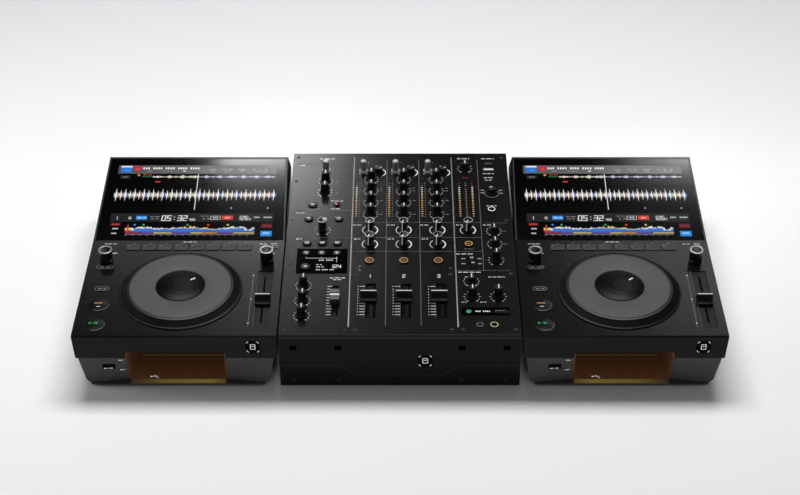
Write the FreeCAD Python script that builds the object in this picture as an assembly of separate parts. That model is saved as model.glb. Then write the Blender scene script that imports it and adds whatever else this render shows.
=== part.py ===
import FreeCAD, Part
import math
import os

# A DJ console for compact discs: two disc players with a three-channel mixer between them.
# Millimetres. Origin on the table below the middle of the console; +X to the right, +Y to
# the back and +Z up. Deck controls are placed from the deck's centre line and front face,
# mixer controls from the mixer's centre line and front face.

Vector = FreeCAD.Vector


def spread(places, unit_length):
    return tuple(place * unit_length for place in places)


# ---- whole console ---------------------------------------------------------------------
deck_width = 320.0
deck_depth = 475.0
mixer_width = 380.0
mixer_depth = 507.0
unit_gap = 2.5
top_z = 106.0
foot_height = 3.0
wall = 3.0
fixed_gap = 0.3
moving_gap = 0.6
deck_half = deck_width / 2
mixer_half = mixer_width / 2

# The mixer's rows and columns keep their share of its panel.
row_unit = mixer_depth / 507.0
column_unit = mixer_width / 380.0

# ---- deck casing -----------------------------------------------------------------------
fascia_bottom_z = 61.5
fascia_draft = 2.3
edge_bevel = 2.0
hood_top_z = 137.0
hood_foot_y = 247.0
hood_head_y = deck_depth - 25.0
rear_slope_z = 84.0
hull_top_half = deck_half - 6.0
hood_draft = 4.0
hull_bottom_half = deck_half - 16.0
hull_corner_r = 18.0
front_lean_y = 1.5
toe_inner_y = 14.5
toe_outer_y = 3.0
lip_front_y = 1.5

# ---- bay in the deck's front, with the disc slot ---------------------------------------
bay_half = 76.5
bay_back_half = 67.5
bay_depth = 71.0
bay_top_z = 73.0
notch_flare = 4.0
bay_light_thickness = 1.5
slot_width = 130.0
slot_height = 6.0
slot_z = 32.0
drive_width = 146.0
drive_depth = 150.0
drive_height = 28.0
drive_wall = 1.5
drive_leg = 10.0
spindle_r = 11.0
spindle_height = 7.0
usb_length = 13.2
usb_height = 5.8
usb_depth = 14.0
usb_shell = 0.6
usb_tongue = 1.8
usb_y = 30.0
usb_low_z = 24.0
usb_high_z = 44.0
usb_mouth_x = bay_half - (bay_half - bay_back_half) * (usb_y - usb_length / 2) / bay_depth

# ---- deck display ----------------------------------------------------------------------
glass_rim = 3.8
glass_foot_margin = 1.5
glass_head_margin = 5.5
glass_thickness = 3.0

# ---- jog wheel -------------------------------------------------------------------------
jog_y = 113.6
jog_r = 98.2
jog_lip_height = 1.6
jog_shoulder_r = 84.0
jog_plate_r = 82.0
jog_plate_z = 117.0
jog_step = 1.0
jog_sink = 1.2
jog_recess_clear = 1.0
jog_ring_thickness = 3.0
jog_display_r = 38.5
jog_dome_height = 4.5
jog_tube_wall = 3.0
jog_cup_depth = 8.0
jog_cup_clear = 4.0
jog_gap = 0.8
jog_web = 9.0
jog_dome_bands = 4
jog_sides = 48
inner_sides = 24

# ---- deck knobs and buttons ------------------------------------------------------------
deck_knob_x = deck_half - 28.0
deck_knob_shift = 1.5
deck_knob_y = 194.0
deck_knob_r = 10.8
deck_knob_rim_r = 11.6
deck_knob_height = 22.5
deck_knob_rim_height = 2.5
round_button_r = 16.0
round_button_x = 33.5 - deck_half
cue_y = 77.0
play_y = 28.0
button_rise = 1.5
button_travel = 1.2
hot_cue_count = 8
hot_cue_length = 22.9
hot_cue_width = 15.0
hot_cue_pitch = 26.4
hot_cue_middle_x = 2.0
hot_cue_y = 228.0
pill_width = 11.2
upper_pill_x = 29.8 - deck_half
upper_pill_y = 173.9
upper_pill_length = 27.6
lower_pill_x = 32.8 - deck_half
lower_pill_y = 117.3
lower_pill_length = 23.4
small_button_x = deck_half - 15.6
small_button_y = 229.5
small_button_r = 4.6
eject_x = (hull_top_half - bay_half) * 0.6 - hull_top_half
eject_z = 39.7
eject_length = 19.0
eject_height = 10.5
eject_depth = 9.0

# ---- tempo fader -----------------------------------------------------------------------
tempo_x = deck_half - 26.6
tempo_middle_y = 93.0
tempo_travel = 110.0
tempo_rest_y = 88.0
tempo_cap_width = 24.2
tempo_cap_length = 26.0
ridge_cap_height = 14.5
cap_ledge_height = 4.0
cap_ledge_depth = 5.5
cap_ridge_width = 2.4
tempo_trough_width = 25.0
trough_depth = 1.8
fader_stem_width = 2.4
fader_stem_length = 6.0
fader_dish = 3.0

# ---- circuit boards --------------------------------------------------------------------
board_thickness = 1.6
deck_board_z = 88.0
deck_board_half = deck_half - 12.0
deck_board_front_y = 12.0
deck_board_back_y = 238.0
mixer_board_z = 84.0
mixer_board_half = mixer_half - 12.0
mixer_board_front_y = 46.0
mixer_board_back_y = mixer_depth - 23.0
boss_size = 7.0
boss_inset = 6.0
deck_boss_ys = (52.5, 211.0)

# ---- mixer casing ----------------------------------------------------------------------
panel_thickness = 5.0
front_recess = 2.0
recess_side_z = 44.9
recess_middle_z = 23.9
recess_middle_half = 66.0
recess_side_half = 96.0
rear_inset = 12.0
rear_cheek = 12.0
rear_frame = 9.0
vent_slot_length = 11.0
vent_slot_height = 9.0
vent_slot_z = 82.3
outer_column_x = 167.4 * column_unit
inner_column_x = 97.0 * column_unit
front_screw_z = 16.5

# ---- mixer knobs -----------------------------------------------------------------------
channel_x = spread((-50.3, 6.2, 63.0), column_unit)
tall_knob_r = 6.8
tall_rim_r = 8.0
tall_knob_height = 22.0
tall_rim_height = 2.5
filter_y = 277.0 * row_unit
colour_y = 237.5 * row_unit
mic_x = -130.5 * column_unit
master_x = 114.5 * column_unit
tone_knob_r = 6.4
tone_skirt_r = 9.0
tone_skirt_height = 4.0
tone_knob_height = 20.0
master_level_height = 13.0
trim_knob_height = 22.0
low_knob_height = 11.0
tone_ys = spread((425.5, 391.0, 356.5, 322.0), row_unit)
trim_offset_x = -14.2
trim_y = 452.0 * row_unit
trim_knob_r = 5.6
trim_skirt_r = 8.2
selector_offset_x = 13.4
selector_y = 447.0 * row_unit
mic_tone_ys = spread((420.0, 386.5), row_unit)
master_level_y = 460.0 * row_unit
monitor_x = 115.5 * column_unit
monitor_level_y = 98.5 * row_unit
monitor_mix_y = 138.0 * row_unit
split_x = 157.3 * column_unit
split_y = 98.5 * row_unit
booth_x = 158.2 * column_unit
booth_ys = spread((274.0, 238.0, 194.0), row_unit)
source_x = 159.0 * column_unit
source_y = 384.0 * row_unit
effect_x = -155.8 * column_unit
effect_ys = spread((127.0, 88.5, 51.0), row_unit)
knob_sides = 10
button_sides = 12
round_sides = 32
shaft_r = 3.0
shaft_sides = 6
shaft_end_gap = 2.0

# ---- mixer buttons ---------------------------------------------------------------------
push_r = 7.6
push_rise = 3.0
mic_push_x = -149.8 * column_unit
mic_push_y = 348.0 * row_unit
alert_push_x = -108.6 * column_unit
alert_push_y = 350.0 * row_unit
alert_push_r = 5.4
pass_push_x = spread((-154.9, -103.9), column_unit)
pass_push_y = 308.0 * row_unit
effect_push_x = spread((-155.0, -129.4, -104.2), column_unit)
effect_row_y = 238.5 * row_unit
display_row_y = 211.0 * row_unit
effect_pill_length = 14.4
display_push_r = 6.3
effect_push_r = 7.6
effect_push_y = 174.5 * row_unit
network_push_x = 156.8 * column_unit
network_push_y = 334.0 * row_unit
network_push_r = 6.6
power_key_x = 156.8 * column_unit
power_key_y = 471.0 * row_unit
power_key_length = 12.0
power_key_width = 5.0
cue_push_y = 190.5 * row_unit
master_cue_y = 236.0 * row_unit
master_cue_r = 7.0
toggle_x = spread((118.0, 120.0), column_unit)
toggle_ys = spread((198.0, 184.5), row_unit)
toggle_length = 6.0
toggle_width = 4.0
toggle_rise = 3.0
toggle_travel = 5.0

# ---- mixer faders ----------------------------------------------------------------------
fader_middle_y = 88.5
fader_travel = 60.0
fader_rest_y = 96.5
fader_cap_width = 26.0
fader_cap_length = 26.0
fader_trough_width = 18.0
fader_trough_shift = 2.5
mix_fader_x = -104.4 * column_unit
mix_fader_rest_y = 91.4
mix_fader_travel = 48.0
mix_cap_width = 16.0
mix_cap_length = 28.5
mix_cap_height = 11.0
mix_cap_bevel = 0.8
mix_trough_width = 12.0

# ---- mixer display, meters and sockets -------------------------------------------------
readout_left_x = -170.8 * column_unit
readout_right_x = -86.0 * column_unit
readout_front_y = 157.0 * row_unit
readout_back_y = 225.7 * row_unit
readout_thickness = 1.6
meter_offset_x = -24.8
meter_width = 5.0
meter_front_y = 312.0 * row_unit
meter_back_y = 420.0 * row_unit
meter_proud = 0.3
meter_depth = 4.0
master_meter_pitch = 11.3
jack_y = 27.3
large_jack_x = 148.1 * column_unit
large_jack_r = 7.0
large_jack_bore_r = 3.2
large_jack_bore_length = 30.0
small_jack_x = 125.3 * column_unit
small_jack_r = 6.2
small_jack_bore_r = 1.8
small_jack_bore_length = 15.0
jack_rise = 1.5
jack_barrel_wall = 2.5
mixer_usb_x = 156.6 * column_unit
mixer_usb_y = 457.0 * row_unit
rca_r = 4.3
rca_reach = 9.0
rca_sides = 8
rca_pitch = 18.0
rca_row_pitch = 29.0
xlr_r = 12.0
xlr_reach = 3.0
xlr_pitch = 38.0
inlet_width = 30.0
inlet_height = 24.0
inlet_reach = 4.0
link_socket_width = 17.0
link_socket_height = 14.0
link_socket_reach = 2.0
socket_row_z = 34.0

# ---- feet and screws -------------------------------------------------------------------
foot_r = 11.0
foot_taper = 1.0
deck_foot_x = deck_half - 56.0
mixer_foot_x = 160.0 * column_unit
foot_front_y = 48.0
foot_back_margin = 48.0
screw_r = 3.3
screw_top_r = 2.5
screw_rise = 1.0
screw_sides = 6
edge_screw_inset = 9.0
front_screw_y = 17.5
front_screw_x = spread((-87.6, -71.2, 82.0, 98.4), column_unit)
left_screw_ys = spread((186.0, 305.0, 420.0), row_unit)
right_screw_ys = spread((158.0, 305.0), row_unit)
back_screw_y = 494.0 * row_unit
divider_screw_x = spread((-69.5, 82.4), column_unit)
divider_screw_ys = spread((157.0, 173.0), row_unit)

deck_offset_x = mixer_width / 2 + unit_gap + deck_width / 2
console_middle_y = mixer_depth / 2
slope_length = math.hypot(hood_head_y - hood_foot_y, hood_top_z - top_z)
far = 2000.0


# ---- plain shapes ----------------------------------------------------------------------
def box(x0, x1, y0, y1, z0, z1):
    return Part.makeBox(x1 - x0, y1 - y0, z1 - z0, Vector(x0, y0, z0))


def centred_box(x, y, length, width, z0, z1):
    return box(x - length / 2, x + length / 2, y - width / 2, y + width / 2, z0, z1)


def disc(x, y, r, z0, z1):
    return Part.makeCylinder(r, z1 - z0, Vector(x, y, z0))


def button_disc(x, y, r, z0, z1):
    return faceted(button_sides, x, y, [(r, z0), (r, z1)])


def pill(x, y, length, width, z0, z1):
    """A block with two half-round ends, its long side along X."""
    reach, r = (length - width) / 2, width / 2
    outline = []
    for side in (1, -1):
        for i in range(button_sides // 2 + 1):
            turn = math.pi * (2 * i / button_sides - side / 2)
            outline.append((x + side * reach + r * math.cos(turn), y + r * math.sin(turn)))
    return upright(outline, z0, z1)


def polygon_solid(corners, push):
    face = Part.Face(Part.makePolygon(corners + corners[:1]))
    return face.extrude(push)


def along_x(outline, x0, x1):
    """Extrude a (y, z) outline from x0 to x1."""
    return polygon_solid([Vector(x0, y, z) for y, z in outline], Vector(x1 - x0, 0, 0))


def along_y(outline, y0, y1):
    """Extrude an (x, z) outline from y0 to y1."""
    return polygon_solid([Vector(x, y0, z) for x, z in outline], Vector(0, y1 - y0, 0))


def upright(outline, z0, z1):
    """Extrude an (x, y) outline from z0 to z1."""
    return polygon_solid([Vector(x, y, z0) for x, y in outline], Vector(0, 0, z1 - z0))


def inset(outline, distance):
    """Move every side of an anticlockwise outline inwards by the same distance."""
    moved = []
    count = len(outline)
    for i in range(count):
        (ax, ay), (bx, by), (cx, cy) = outline[i - 1], outline[i], outline[(i + 1) % count]
        ux, uy = unit(bx - ax, by - ay)
        vx, vy = unit(cx - bx, cy - by)
        turn = ux * vy - uy * vx
        along = distance * (1 - ux * vx - uy * vy) / turn
        moved.append((bx - uy * distance - ux * along, by + ux * distance - uy * along))
    return moved


def unit(x, y):
    length = math.hypot(x, y)
    return x / length, y / length


def ring_corners(sides, r, x, y, z):
    turn = 2 * math.pi / sides
    return [
        Vector(x + r * math.cos((i + 0.5) * turn), y + r * math.sin((i + 0.5) * turn), z)
        for i in range(sides)
    ]


def flat_face(corners):
    return Part.Face(Part.makePolygon(corners + corners[:1]))


def faceted(sides, x, y, steps):
    """A post with flat sides; steps are its (radius, height) pairs from the foot up."""
    rings = [ring_corners(sides, r, x, y, z) for r, z in steps]
    faces = [flat_face(rings[0]), flat_face(rings[-1])]
    for low, high in zip(rings, rings[1:]):
        for i in range(sides):
            j = (i + 1) % sides
            faces.append(flat_face([low[i], low[j], high[j], high[i]]))
    solid = Part.makeSolid(Part.makeShell(faces))
    if solid.Volume < 0:
        solid.reverse()
    return solid


def mirrored_pairs(half_x, ys):
    return [(side * half_x, y) for side in (-1, 1) for y in ys]


# ---- knobs, caps and buttons -----------------------------------------------------------
def shaft(x, y, board_top):
    foot = board_top + shaft_end_gap
    return faceted(shaft_sides, x, y, [(shaft_r, foot), (shaft_r, top_z + moving_gap)])


def shaft_hole(x, y):
    r = (shaft_r + moving_gap) / math.cos(math.pi / shaft_sides)
    return faceted(shaft_sides, x, y, [(r, top_z - panel_thickness - 1), (r, top_z + 1)])


def rimmed_knob(x, y, r, rim_r, height, rim_height, board_top):
    """A fluted grip with a wider rim round its top, on its shaft."""
    foot = top_z + moving_gap
    head = top_z + height
    rim_foot = head - rim_height
    grip = faceted(knob_sides, x, y, [(r, foot), (r, rim_foot), (rim_r, rim_foot), (rim_r, head)])
    return grip.fuse(shaft(x, y, board_top)).removeSplitter()


def skirted_knob(x, y, r, skirt_r, height, lift):
    """A tapered grip that flares out to a skirt at its foot."""
    foot = top_z + lift
    steps = [(skirt_r, foot), (r, foot + tone_skirt_height), (r, top_z + height)]
    return faceted(knob_sides, x, y, steps)


def turning_knob(x, y, height, board_top):
    grip = skirted_knob(x, y, tone_knob_r, tone_skirt_r, height, moving_gap)
    return grip.fuse(shaft(x, y, board_top)).removeSplitter()


def button_foot(board_top):
    return board_top + button_travel + moving_gap


def dished_outline(y, length, height):
    """The side view of a block with a dip across the middle of its top."""
    foot = top_z + moving_gap
    head = top_z + height
    front, back = y - length / 2, y + length / 2
    return [
        (front, foot),
        (back, foot),
        (back - mix_cap_bevel, head),
        (y + length / 5, head),
        (y, head - fader_dish),
        (y - length / 5, head),
        (front + mix_cap_bevel, head),
    ]


def ridged_outline(y, length):
    """The side view of a cap that rises from a ledge at either end to a narrow ridge."""
    foot = top_z + moving_gap
    ledge = top_z + cap_ledge_height
    head = top_z + ridge_cap_height
    end, slope, ridge = length / 2, length / 2 - cap_ledge_depth, cap_ridge_width / 2
    back = [(y + end, foot), (y + end, ledge), (y + slope, ledge), (y + ridge, head)]
    return back + [(2 * y - place, z) for place, z in reversed(back)]


def fader_cap(outline, x, y, width, stem_foot_z):
    """A cap standing over its slot on a flat stem."""
    foot = top_z + moving_gap
    cap = along_x(outline, x - width / 2, x + width / 2)
    stem = centred_box(x, y, fader_stem_width, fader_stem_length, stem_foot_z, foot + 1)
    return cap.fuse(stem).removeSplitter()


def fader_slot(x, middle_y, travel):
    length = travel + fader_stem_length + 2 * moving_gap
    width = fader_stem_width + 2 * moving_gap
    return centred_box(x, middle_y, width, length, top_z - panel_thickness - 1, top_z + 1)


def fader_trough(x, middle_y, width, length):
    return centred_box(x, middle_y, width, length, top_z - trough_depth, top_z + 1)


# ---- deck casing -----------------------------------------------------------------------
def cover_half(z):
    return deck_half - fascia_draft * (top_z - z) / (top_z - fascia_bottom_z)


def hood_half(z):
    return deck_half - hood_draft * (z - top_z) / (hood_top_z - top_z)


def hood_window(rim):
    """The space between the hood's leaning sides, this far in from them."""
    low, high = fascia_bottom_z, hood_top_z + far / 100
    outline = [
        (rim - hood_half(low), low),
        (hood_half(low) - rim, low),
        (hood_half(high) - rim, high),
        (rim - hood_half(high), high),
    ]
    return along_y(outline, 0, deck_depth)


def cover_envelope(margin):
    """The upper casing's outside, or its inside where margin is the wall."""
    bottom = fascia_bottom_z - 2 * margin
    above = hood_top_z + far / 100
    side = [
        (0, bottom),
        (deck_depth, bottom),
        (deck_depth, rear_slope_z),
        (hood_head_y, hood_top_z),
        (hood_foot_y, top_z),
        (0, top_z),
    ]
    front = [
        (-cover_half(bottom), bottom),
        (cover_half(bottom), bottom),
        (deck_half, top_z),
        (hood_half(above), above),
        (-hood_half(above), above),
        (-deck_half, top_z),
    ]
    if margin:
        side, front = inset(side, margin), inset(front, margin)
    return along_x(side, -deck_width, deck_width).common(along_y(front, -far / 100, far))


def on_slope(distance, depth):
    """The (y, z) place that lies this far up the screen's slope and this deep below it."""
    dy, dz = unit(hood_head_y - hood_foot_y, hood_top_z - top_z)
    return (
        hood_foot_y + distance * dy + depth * dz,
        top_z + distance * dz - depth * dy,
    )


def slope_slab(half_width, start, end, shallow, deep):
    outline = [
        on_slope(start, deep),
        on_slope(end, deep),
        on_slope(end, shallow),
        on_slope(start, shallow),
    ]
    return along_x(outline, -half_width, half_width)


def hot_cue_places():
    first = hot_cue_middle_x - hot_cue_pitch * (hot_cue_count - 1) / 2
    return [(first + i * hot_cue_pitch, hot_cue_y) for i in range(hot_cue_count)]


def hot_cue_block(x, y, grow, z0, z1):
    return centred_box(x, y, hot_cue_length + 2 * grow, hot_cue_width + 2 * grow, z0, z1)


def mode_blocks(grow, z0, z1):
    """The two long keys on the left and the small round key at the back right."""
    width = pill_width + 2 * grow
    return [
        pill(upper_pill_x, upper_pill_y, upper_pill_length + 2 * grow, width, z0, z1),
        pill(lower_pill_x, lower_pill_y, lower_pill_length + 2 * grow, width, z0, z1),
        button_disc(small_button_x, small_button_y, small_button_r + grow, z0, z1),
    ]


def deck_knob_place(side):
    """The two knobs stand a little to the right of a mirrored pair."""
    return side * deck_knob_x + deck_knob_shift


def transport_block(y, grow, z0, z1):
    r = round_button_r + grow
    return faceted(round_sides, round_button_x, y, [(r, z0), (r, z1)])


def deck_board_bosses(z0, z1):
    places = mirrored_pairs(deck_board_half - boss_inset, deck_boss_ys)
    return [centred_box(x, y, boss_size, boss_size, z0, z1) for x, y in places]


def fascia_notch():
    """The cut in the fascia above the bay, a little wider at its foot."""
    outline = [
        (-bay_half - notch_flare, fascia_bottom_z - 1),
        (bay_half + notch_flare, fascia_bottom_z - 1),
        (bay_half, bay_top_z),
        (-bay_half, bay_top_z),
    ]
    return along_y(outline, -1, wall + 1)


def cover_flanges():
    """Ledges along the cover's sides that rest on the lower casing's rim."""
    inner, outer = hull_top_half - wall, cover_half(fascia_bottom_z) - wall / 2
    span = (wall / 2, deck_depth - wall / 2, fascia_bottom_z, fascia_bottom_z + wall)
    return [box(inner, outer, *span), box(-outer, -inner, *span)]


def deck_top_cover():
    cup_r = jog_display_r + jog_gap + jog_tube_wall + jog_cup_clear
    cup_floor = top_z - jog_cup_depth
    recess_r = jog_r + jog_recess_clear
    well_side = 2 * (cup_r + wall)
    through = (top_z - wall - 1, top_z + 1)
    cover = cover_envelope(0).cut(cover_envelope(wall))
    tray = slope_slab(
        deck_half - wall / 2,
        0,
        slope_length - wall,
        glass_thickness - fixed_gap,
        glass_thickness + wall,
    )
    cover = cover.fuse(tray.common(cover_envelope(0)))
    well = centred_box(0, jog_y, well_side, well_side, cup_floor - wall, top_z - wall / 2)
    cover = cover.fuse([well] + cover_flanges())
    cover = cover.fuse(deck_board_bosses(deck_board_z + board_thickness, top_z - wall / 2))
    bevel = [(-1, top_z + 1), (-1, top_z - edge_bevel - 1), (edge_bevel + 1, top_z + 1)]
    trough_length = tempo_travel + tempo_cap_length + 2 * jog_cup_clear
    cuts = [
        along_x(bevel, -deck_width, deck_width),
        slope_slab(
            deck_half,
            glass_foot_margin - fixed_gap,
            slope_length - glass_head_margin + fixed_gap,
            -far / 100,
            glass_thickness,
        ).common(hood_window(glass_rim - fixed_gap)),
        turned(inner_sides, cup_r, cup_floor, top_z + 1),
        turned(jog_sides, recess_r, top_z - jog_sink, top_z + 1),
        fader_trough(tempo_x, tempo_middle_y, tempo_trough_width, trough_length),
        fader_slot(tempo_x, tempo_middle_y, tempo_travel),
        fascia_notch(),
    ]
    cuts += [hot_cue_block(x, y, moving_gap, *through) for x, y in hot_cue_places()]
    cuts += mode_blocks(moving_gap, *through)
    cuts += [transport_block(y, moving_gap, *through) for y in (cue_y, play_y)]
    cuts += [shaft_hole(deck_knob_place(side), deck_knob_y) for side in (-1, 1)]
    return cover.cut(cuts).removeSplitter()


def pod_front_y(x, z):
    """How far back the lower casing's front lies at this place."""
    outward = min(max((abs(x) - bay_half) / (hull_top_half - bay_half), 0), 1)
    toe = toe_inner_y + (toe_outer_y - toe_inner_y) * outward
    down = (fascia_bottom_z - z) / (fascia_bottom_z - foot_height)
    return front_lean_y + (toe - front_lean_y) * down


def leaning_front(margin):
    """The space behind the lower casing's front, which leans back towards the bay."""
    sections = []
    for x in (-hull_top_half, -bay_half, bay_half, hull_top_half):
        corners = [
            Vector(x, pod_front_y(x, top_z) + margin, top_z),
            Vector(x, pod_front_y(x, 0) + margin, 0),
            Vector(x, deck_depth, 0),
            Vector(x, deck_depth, top_z),
        ]
        sections.append(Part.makePolygon(corners + corners[:1]))
    return Part.makeLoft(sections, True, True)


def hull_block(margin):
    """The lower casing's rounded outline, run from front to back."""
    bottom = foot_height + margin
    top = fascia_bottom_z + (1 if margin else 0)
    outline = [
        (-hull_bottom_half + margin, bottom),
        (hull_bottom_half - margin, bottom),
        (hull_top_half - margin, top),
        (-hull_top_half + margin, top),
    ]
    block = along_y(outline, 0, deck_depth - margin)
    corners = [
        edge
        for edge in block.Edges
        if edge.BoundBox.YLength > deck_depth / 2 and edge.BoundBox.ZMax < bottom + 1
    ]
    return block.makeFillet(hull_corner_r - margin, corners)


def hull_envelope(margin):
    """The lower casing's outside, or its inside where margin is the wall."""
    return hull_block(margin).common(leaning_front(margin))


def lip_plate():
    """The floor's front edge, which reaches out under the bay and the pods beside it."""
    span = (lip_front_y, bay_depth, foot_height, foot_height + wall)
    return hull_block(0).common(box(-deck_half, deck_half, *span))


def bay_side_x(y):
    """How far the bay's side lies from the deck's centre line; the bay narrows to the back."""
    return bay_half - (bay_half - bay_back_half) * y / bay_depth


def bay_room(margin, y0, y1, z0, z1):
    """The bay's own space, drawn in by margin from its two sides."""
    front, back = bay_side_x(y0) - margin, bay_side_x(y1) - margin
    return upright([(-front, y0), (front, y0), (back, y1), (-back, y1)], z0, z1)


def bay_housing():
    """Sides, back and roof of the bay; it stands on the floor and reaches up inside the cover."""
    front, back = bay_half + wall, bay_back_half + wall
    straight_y = toe_inner_y + 2 * wall
    end_y = bay_depth + wall
    outline = [
        (-front, 0),
        (front, 0),
        (front, straight_y),
        (back, end_y),
        (-back, end_y),
        (-front, straight_y),
    ]
    floor = foot_height + wall
    lower = upright(outline, floor, fascia_bottom_z)
    upper = upright(outline, fascia_bottom_z - 1, bay_top_z + wall)
    upper = upper.cut(box(-far, far, -1, wall + fixed_gap, 0, top_z))
    cuts = [
        bay_room(0, -1, bay_depth, floor - 1, bay_top_z),
        disc_slot(bay_depth - 1, bay_depth + wall + 1),
    ]
    cuts += [usb_hole(z, fixed_gap) for z in (usb_low_z, usb_high_z)]
    return lower.common(leaning_front(0)).fuse(upper).cut(cuts).removeSplitter()


def disc_slot(y0, y1):
    half, rise = slot_width / 2, slot_height / 2
    return box(-half, half, y0, y1, slot_z - rise, slot_z + rise)


def usb_hole(z, grow):
    return box(
        -usb_mouth_x - usb_depth,
        -usb_mouth_x + grow,
        usb_y - usb_length / 2 - grow,
        usb_y + usb_length / 2 + grow,
        z - usb_height / 2 - grow,
        z + usb_height / 2 + grow,
    )


def eject_block(grow, y0, y1):
    return box(
        eject_x - eject_length / 2 - grow,
        eject_x + eject_length / 2 + grow,
        y0,
        y1,
        eject_z - eject_height / 2 - grow,
        eject_z + eject_height / 2 + grow,
    )


def deck_base():
    """The tub under the deck, its front open between the two pods for the bay."""
    mouth_half = bay_half + wall + fixed_gap
    base = hull_envelope(0).cut(hull_envelope(wall)).fuse(lip_plate())
    behind_pods = toe_inner_y + 2 * wall
    cuts = [
        box(-mouth_half, mouth_half, -1, behind_pods, foot_height + wall, fascia_bottom_z + 1),
        eject_block(moving_gap, -1, behind_pods),
    ]
    return base.cut(cuts).removeSplitter()


def deck_display():
    end = slope_length - glass_head_margin
    slab = slope_slab(deck_half, glass_foot_margin, end, 0, glass_thickness)
    return slab.common(hood_window(glass_rim))


def bay_light():
    z0 = foot_height + wall
    front, back = lip_front_y + fixed_gap, bay_depth - fixed_gap
    return bay_room(fixed_gap, front, back, z0, z0 + bay_light_thickness)


def disc_drive():
    """A slot-in drive: an open-fronted tray box on four legs, and the spindle in it."""
    y0 = bay_depth + wall
    y1 = y0 + drive_depth
    half = drive_width / 2
    z0, z1 = slot_z - drive_height / 2, slot_z + drive_height / 2
    case = box(-half, half, y0, y1, z0, z1)
    hollow = box(
        -half + drive_wall,
        half - drive_wall,
        y0 + drive_wall,
        y1 - drive_wall,
        z0 + drive_wall,
        z1 - drive_wall,
    )
    case = case.cut([hollow, disc_slot(y0 - 1, y0 + drive_wall + 1)])
    leg_ys = (y0 + drive_leg / 2, y1 - drive_leg / 2)
    legs = [
        centred_box(x, y, drive_leg, drive_leg, foot_height + wall, z0)
        for x, y in mirrored_pairs(half - drive_leg / 2, leg_ys)
    ]
    floor = z0 + drive_wall
    spindle = faceted(
        button_sides, 0, (y0 + y1) / 2, [(spindle_r, floor), (spindle_r, floor + spindle_height)]
    )
    return [case.fuse(legs).removeSplitter(), spindle]


def bay_usb_sockets():
    sockets = []
    for z in (usb_low_z, usb_high_z):
        shell = usb_hole(z, 0)
        mouth = usb_hole(z, -usb_shell)
        mouth.translate(Vector(2 * usb_shell, 0, 0))
        tongue = box(
            -usb_mouth_x - usb_depth,
            -usb_mouth_x - usb_shell,
            usb_y - usb_length / 2 + 2 * usb_shell,
            usb_y + usb_length / 2 - 2 * usb_shell,
            z - usb_tongue / 2,
            z + usb_tongue / 2,
        )
        sockets.append(shell.cut(mouth).fuse(tongue).removeSplitter())
    return sockets


def turned(sides, r, z0, z1):
    return faceted(sides, 0, jog_y, [(r, z0), (r, z1)])


def jog_centre_display():
    """The domed display on its fixed post, which the jog wheel turns round."""
    sphere_r = (jog_display_r**2 + jog_dome_height**2) / (2 * jog_dome_height)
    centre_z = jog_plate_z + jog_dome_height - sphere_r
    steps = [(jog_display_r, top_z - jog_cup_depth)]
    for i in range(jog_dome_bands):
        r = jog_display_r * (1 - i / jog_dome_bands)
        steps.append((r, centre_z + math.sqrt(sphere_r**2 - r**2)))
    return faceted(inner_sides, 0, jog_y, steps)


def jog_wheel():
    """A ring with a knurled rim and a flat plate, on a tube round the centre display."""
    foot = top_z - jog_sink + moving_gap
    bore_r = jog_display_r + jog_gap
    tube_foot = top_z - jog_cup_depth + moving_gap
    under = jog_plate_z - jog_ring_thickness
    rim = [
        (jog_r, foot),
        (jog_r, top_z + jog_lip_height),
        (jog_shoulder_r, jog_plate_z - jog_step),
        (jog_plate_r, jog_plate_z),
    ]
    wheel = faceted(jog_sides, 0, jog_y, rim)
    wheel = wheel.cut(turned(inner_sides, jog_plate_r - jog_web, foot - 1, under))
    wheel = wheel.fuse(turned(inner_sides, bore_r + jog_tube_wall, tube_foot, under + 1))
    return wheel.cut(turned(inner_sides, bore_r, tube_foot - 1, jog_plate_z + 1)).removeSplitter()


def deck_board_top():
    return deck_board_z + board_thickness


def deck_knob(side):
    return rimmed_knob(
        deck_knob_place(side),
        deck_knob_y,
        deck_knob_r,
        deck_knob_rim_r,
        deck_knob_height,
        deck_knob_rim_height,
        deck_board_top(),
    )


def tempo_fader():
    outline = ridged_outline(tempo_rest_y, tempo_cap_length)
    stem_foot_z = deck_board_top() + shaft_end_gap
    return fader_cap(outline, tempo_x, tempo_rest_y, tempo_cap_width, stem_foot_z)


def transport_button(y):
    return transport_block(y, 0, button_foot(deck_board_top()), top_z + button_rise)


def hot_cue_buttons():
    foot = button_foot(deck_board_top())
    return [hot_cue_block(x, y, 0, foot, top_z + button_rise) for x, y in hot_cue_places()]


def mode_buttons():
    return mode_blocks(0, button_foot(deck_board_top()), top_z + button_rise)


def eject_button():
    front = pod_front_y(eject_x, eject_z) - button_rise
    return eject_block(0, front, front + eject_depth)


def deck_board():
    return box(
        -deck_board_half,
        deck_board_half,
        deck_board_front_y,
        deck_board_back_y,
        deck_board_z,
        deck_board_top(),
    )


def deck_rear_sockets():
    """Mains inlet, network socket and a pair of line outputs on the lower casing's back."""
    inlet = box(
        -bay_half - inlet_width,
        -bay_half,
        deck_depth,
        deck_depth + inlet_reach,
        socket_row_z - inlet_height / 2,
        socket_row_z + inlet_height / 2,
    )
    link = box(
        0,
        link_socket_width,
        deck_depth,
        deck_depth + link_socket_reach,
        socket_row_z - link_socket_height / 2,
        socket_row_z + link_socket_height / 2,
    )
    outputs = [rear_jack(bay_half + i * rca_pitch, deck_depth, socket_row_z) for i in (0, 1)]
    return [inlet, link] + outputs


def rear_barrel(x, y, z, r, reach, sides):
    """A socket's barrel standing out from a rear wall."""
    barrel = faceted(sides, 0, 0, [(r, 0), (r, reach)])
    barrel.rotate(Vector(0, 0, 0), Vector(1, 0, 0), -90)
    return barrel.translated(Vector(x, y, z))


def rear_jack(x, y, z):
    return rear_barrel(x, y, z, rca_r, rca_reach, rca_sides)


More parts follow.
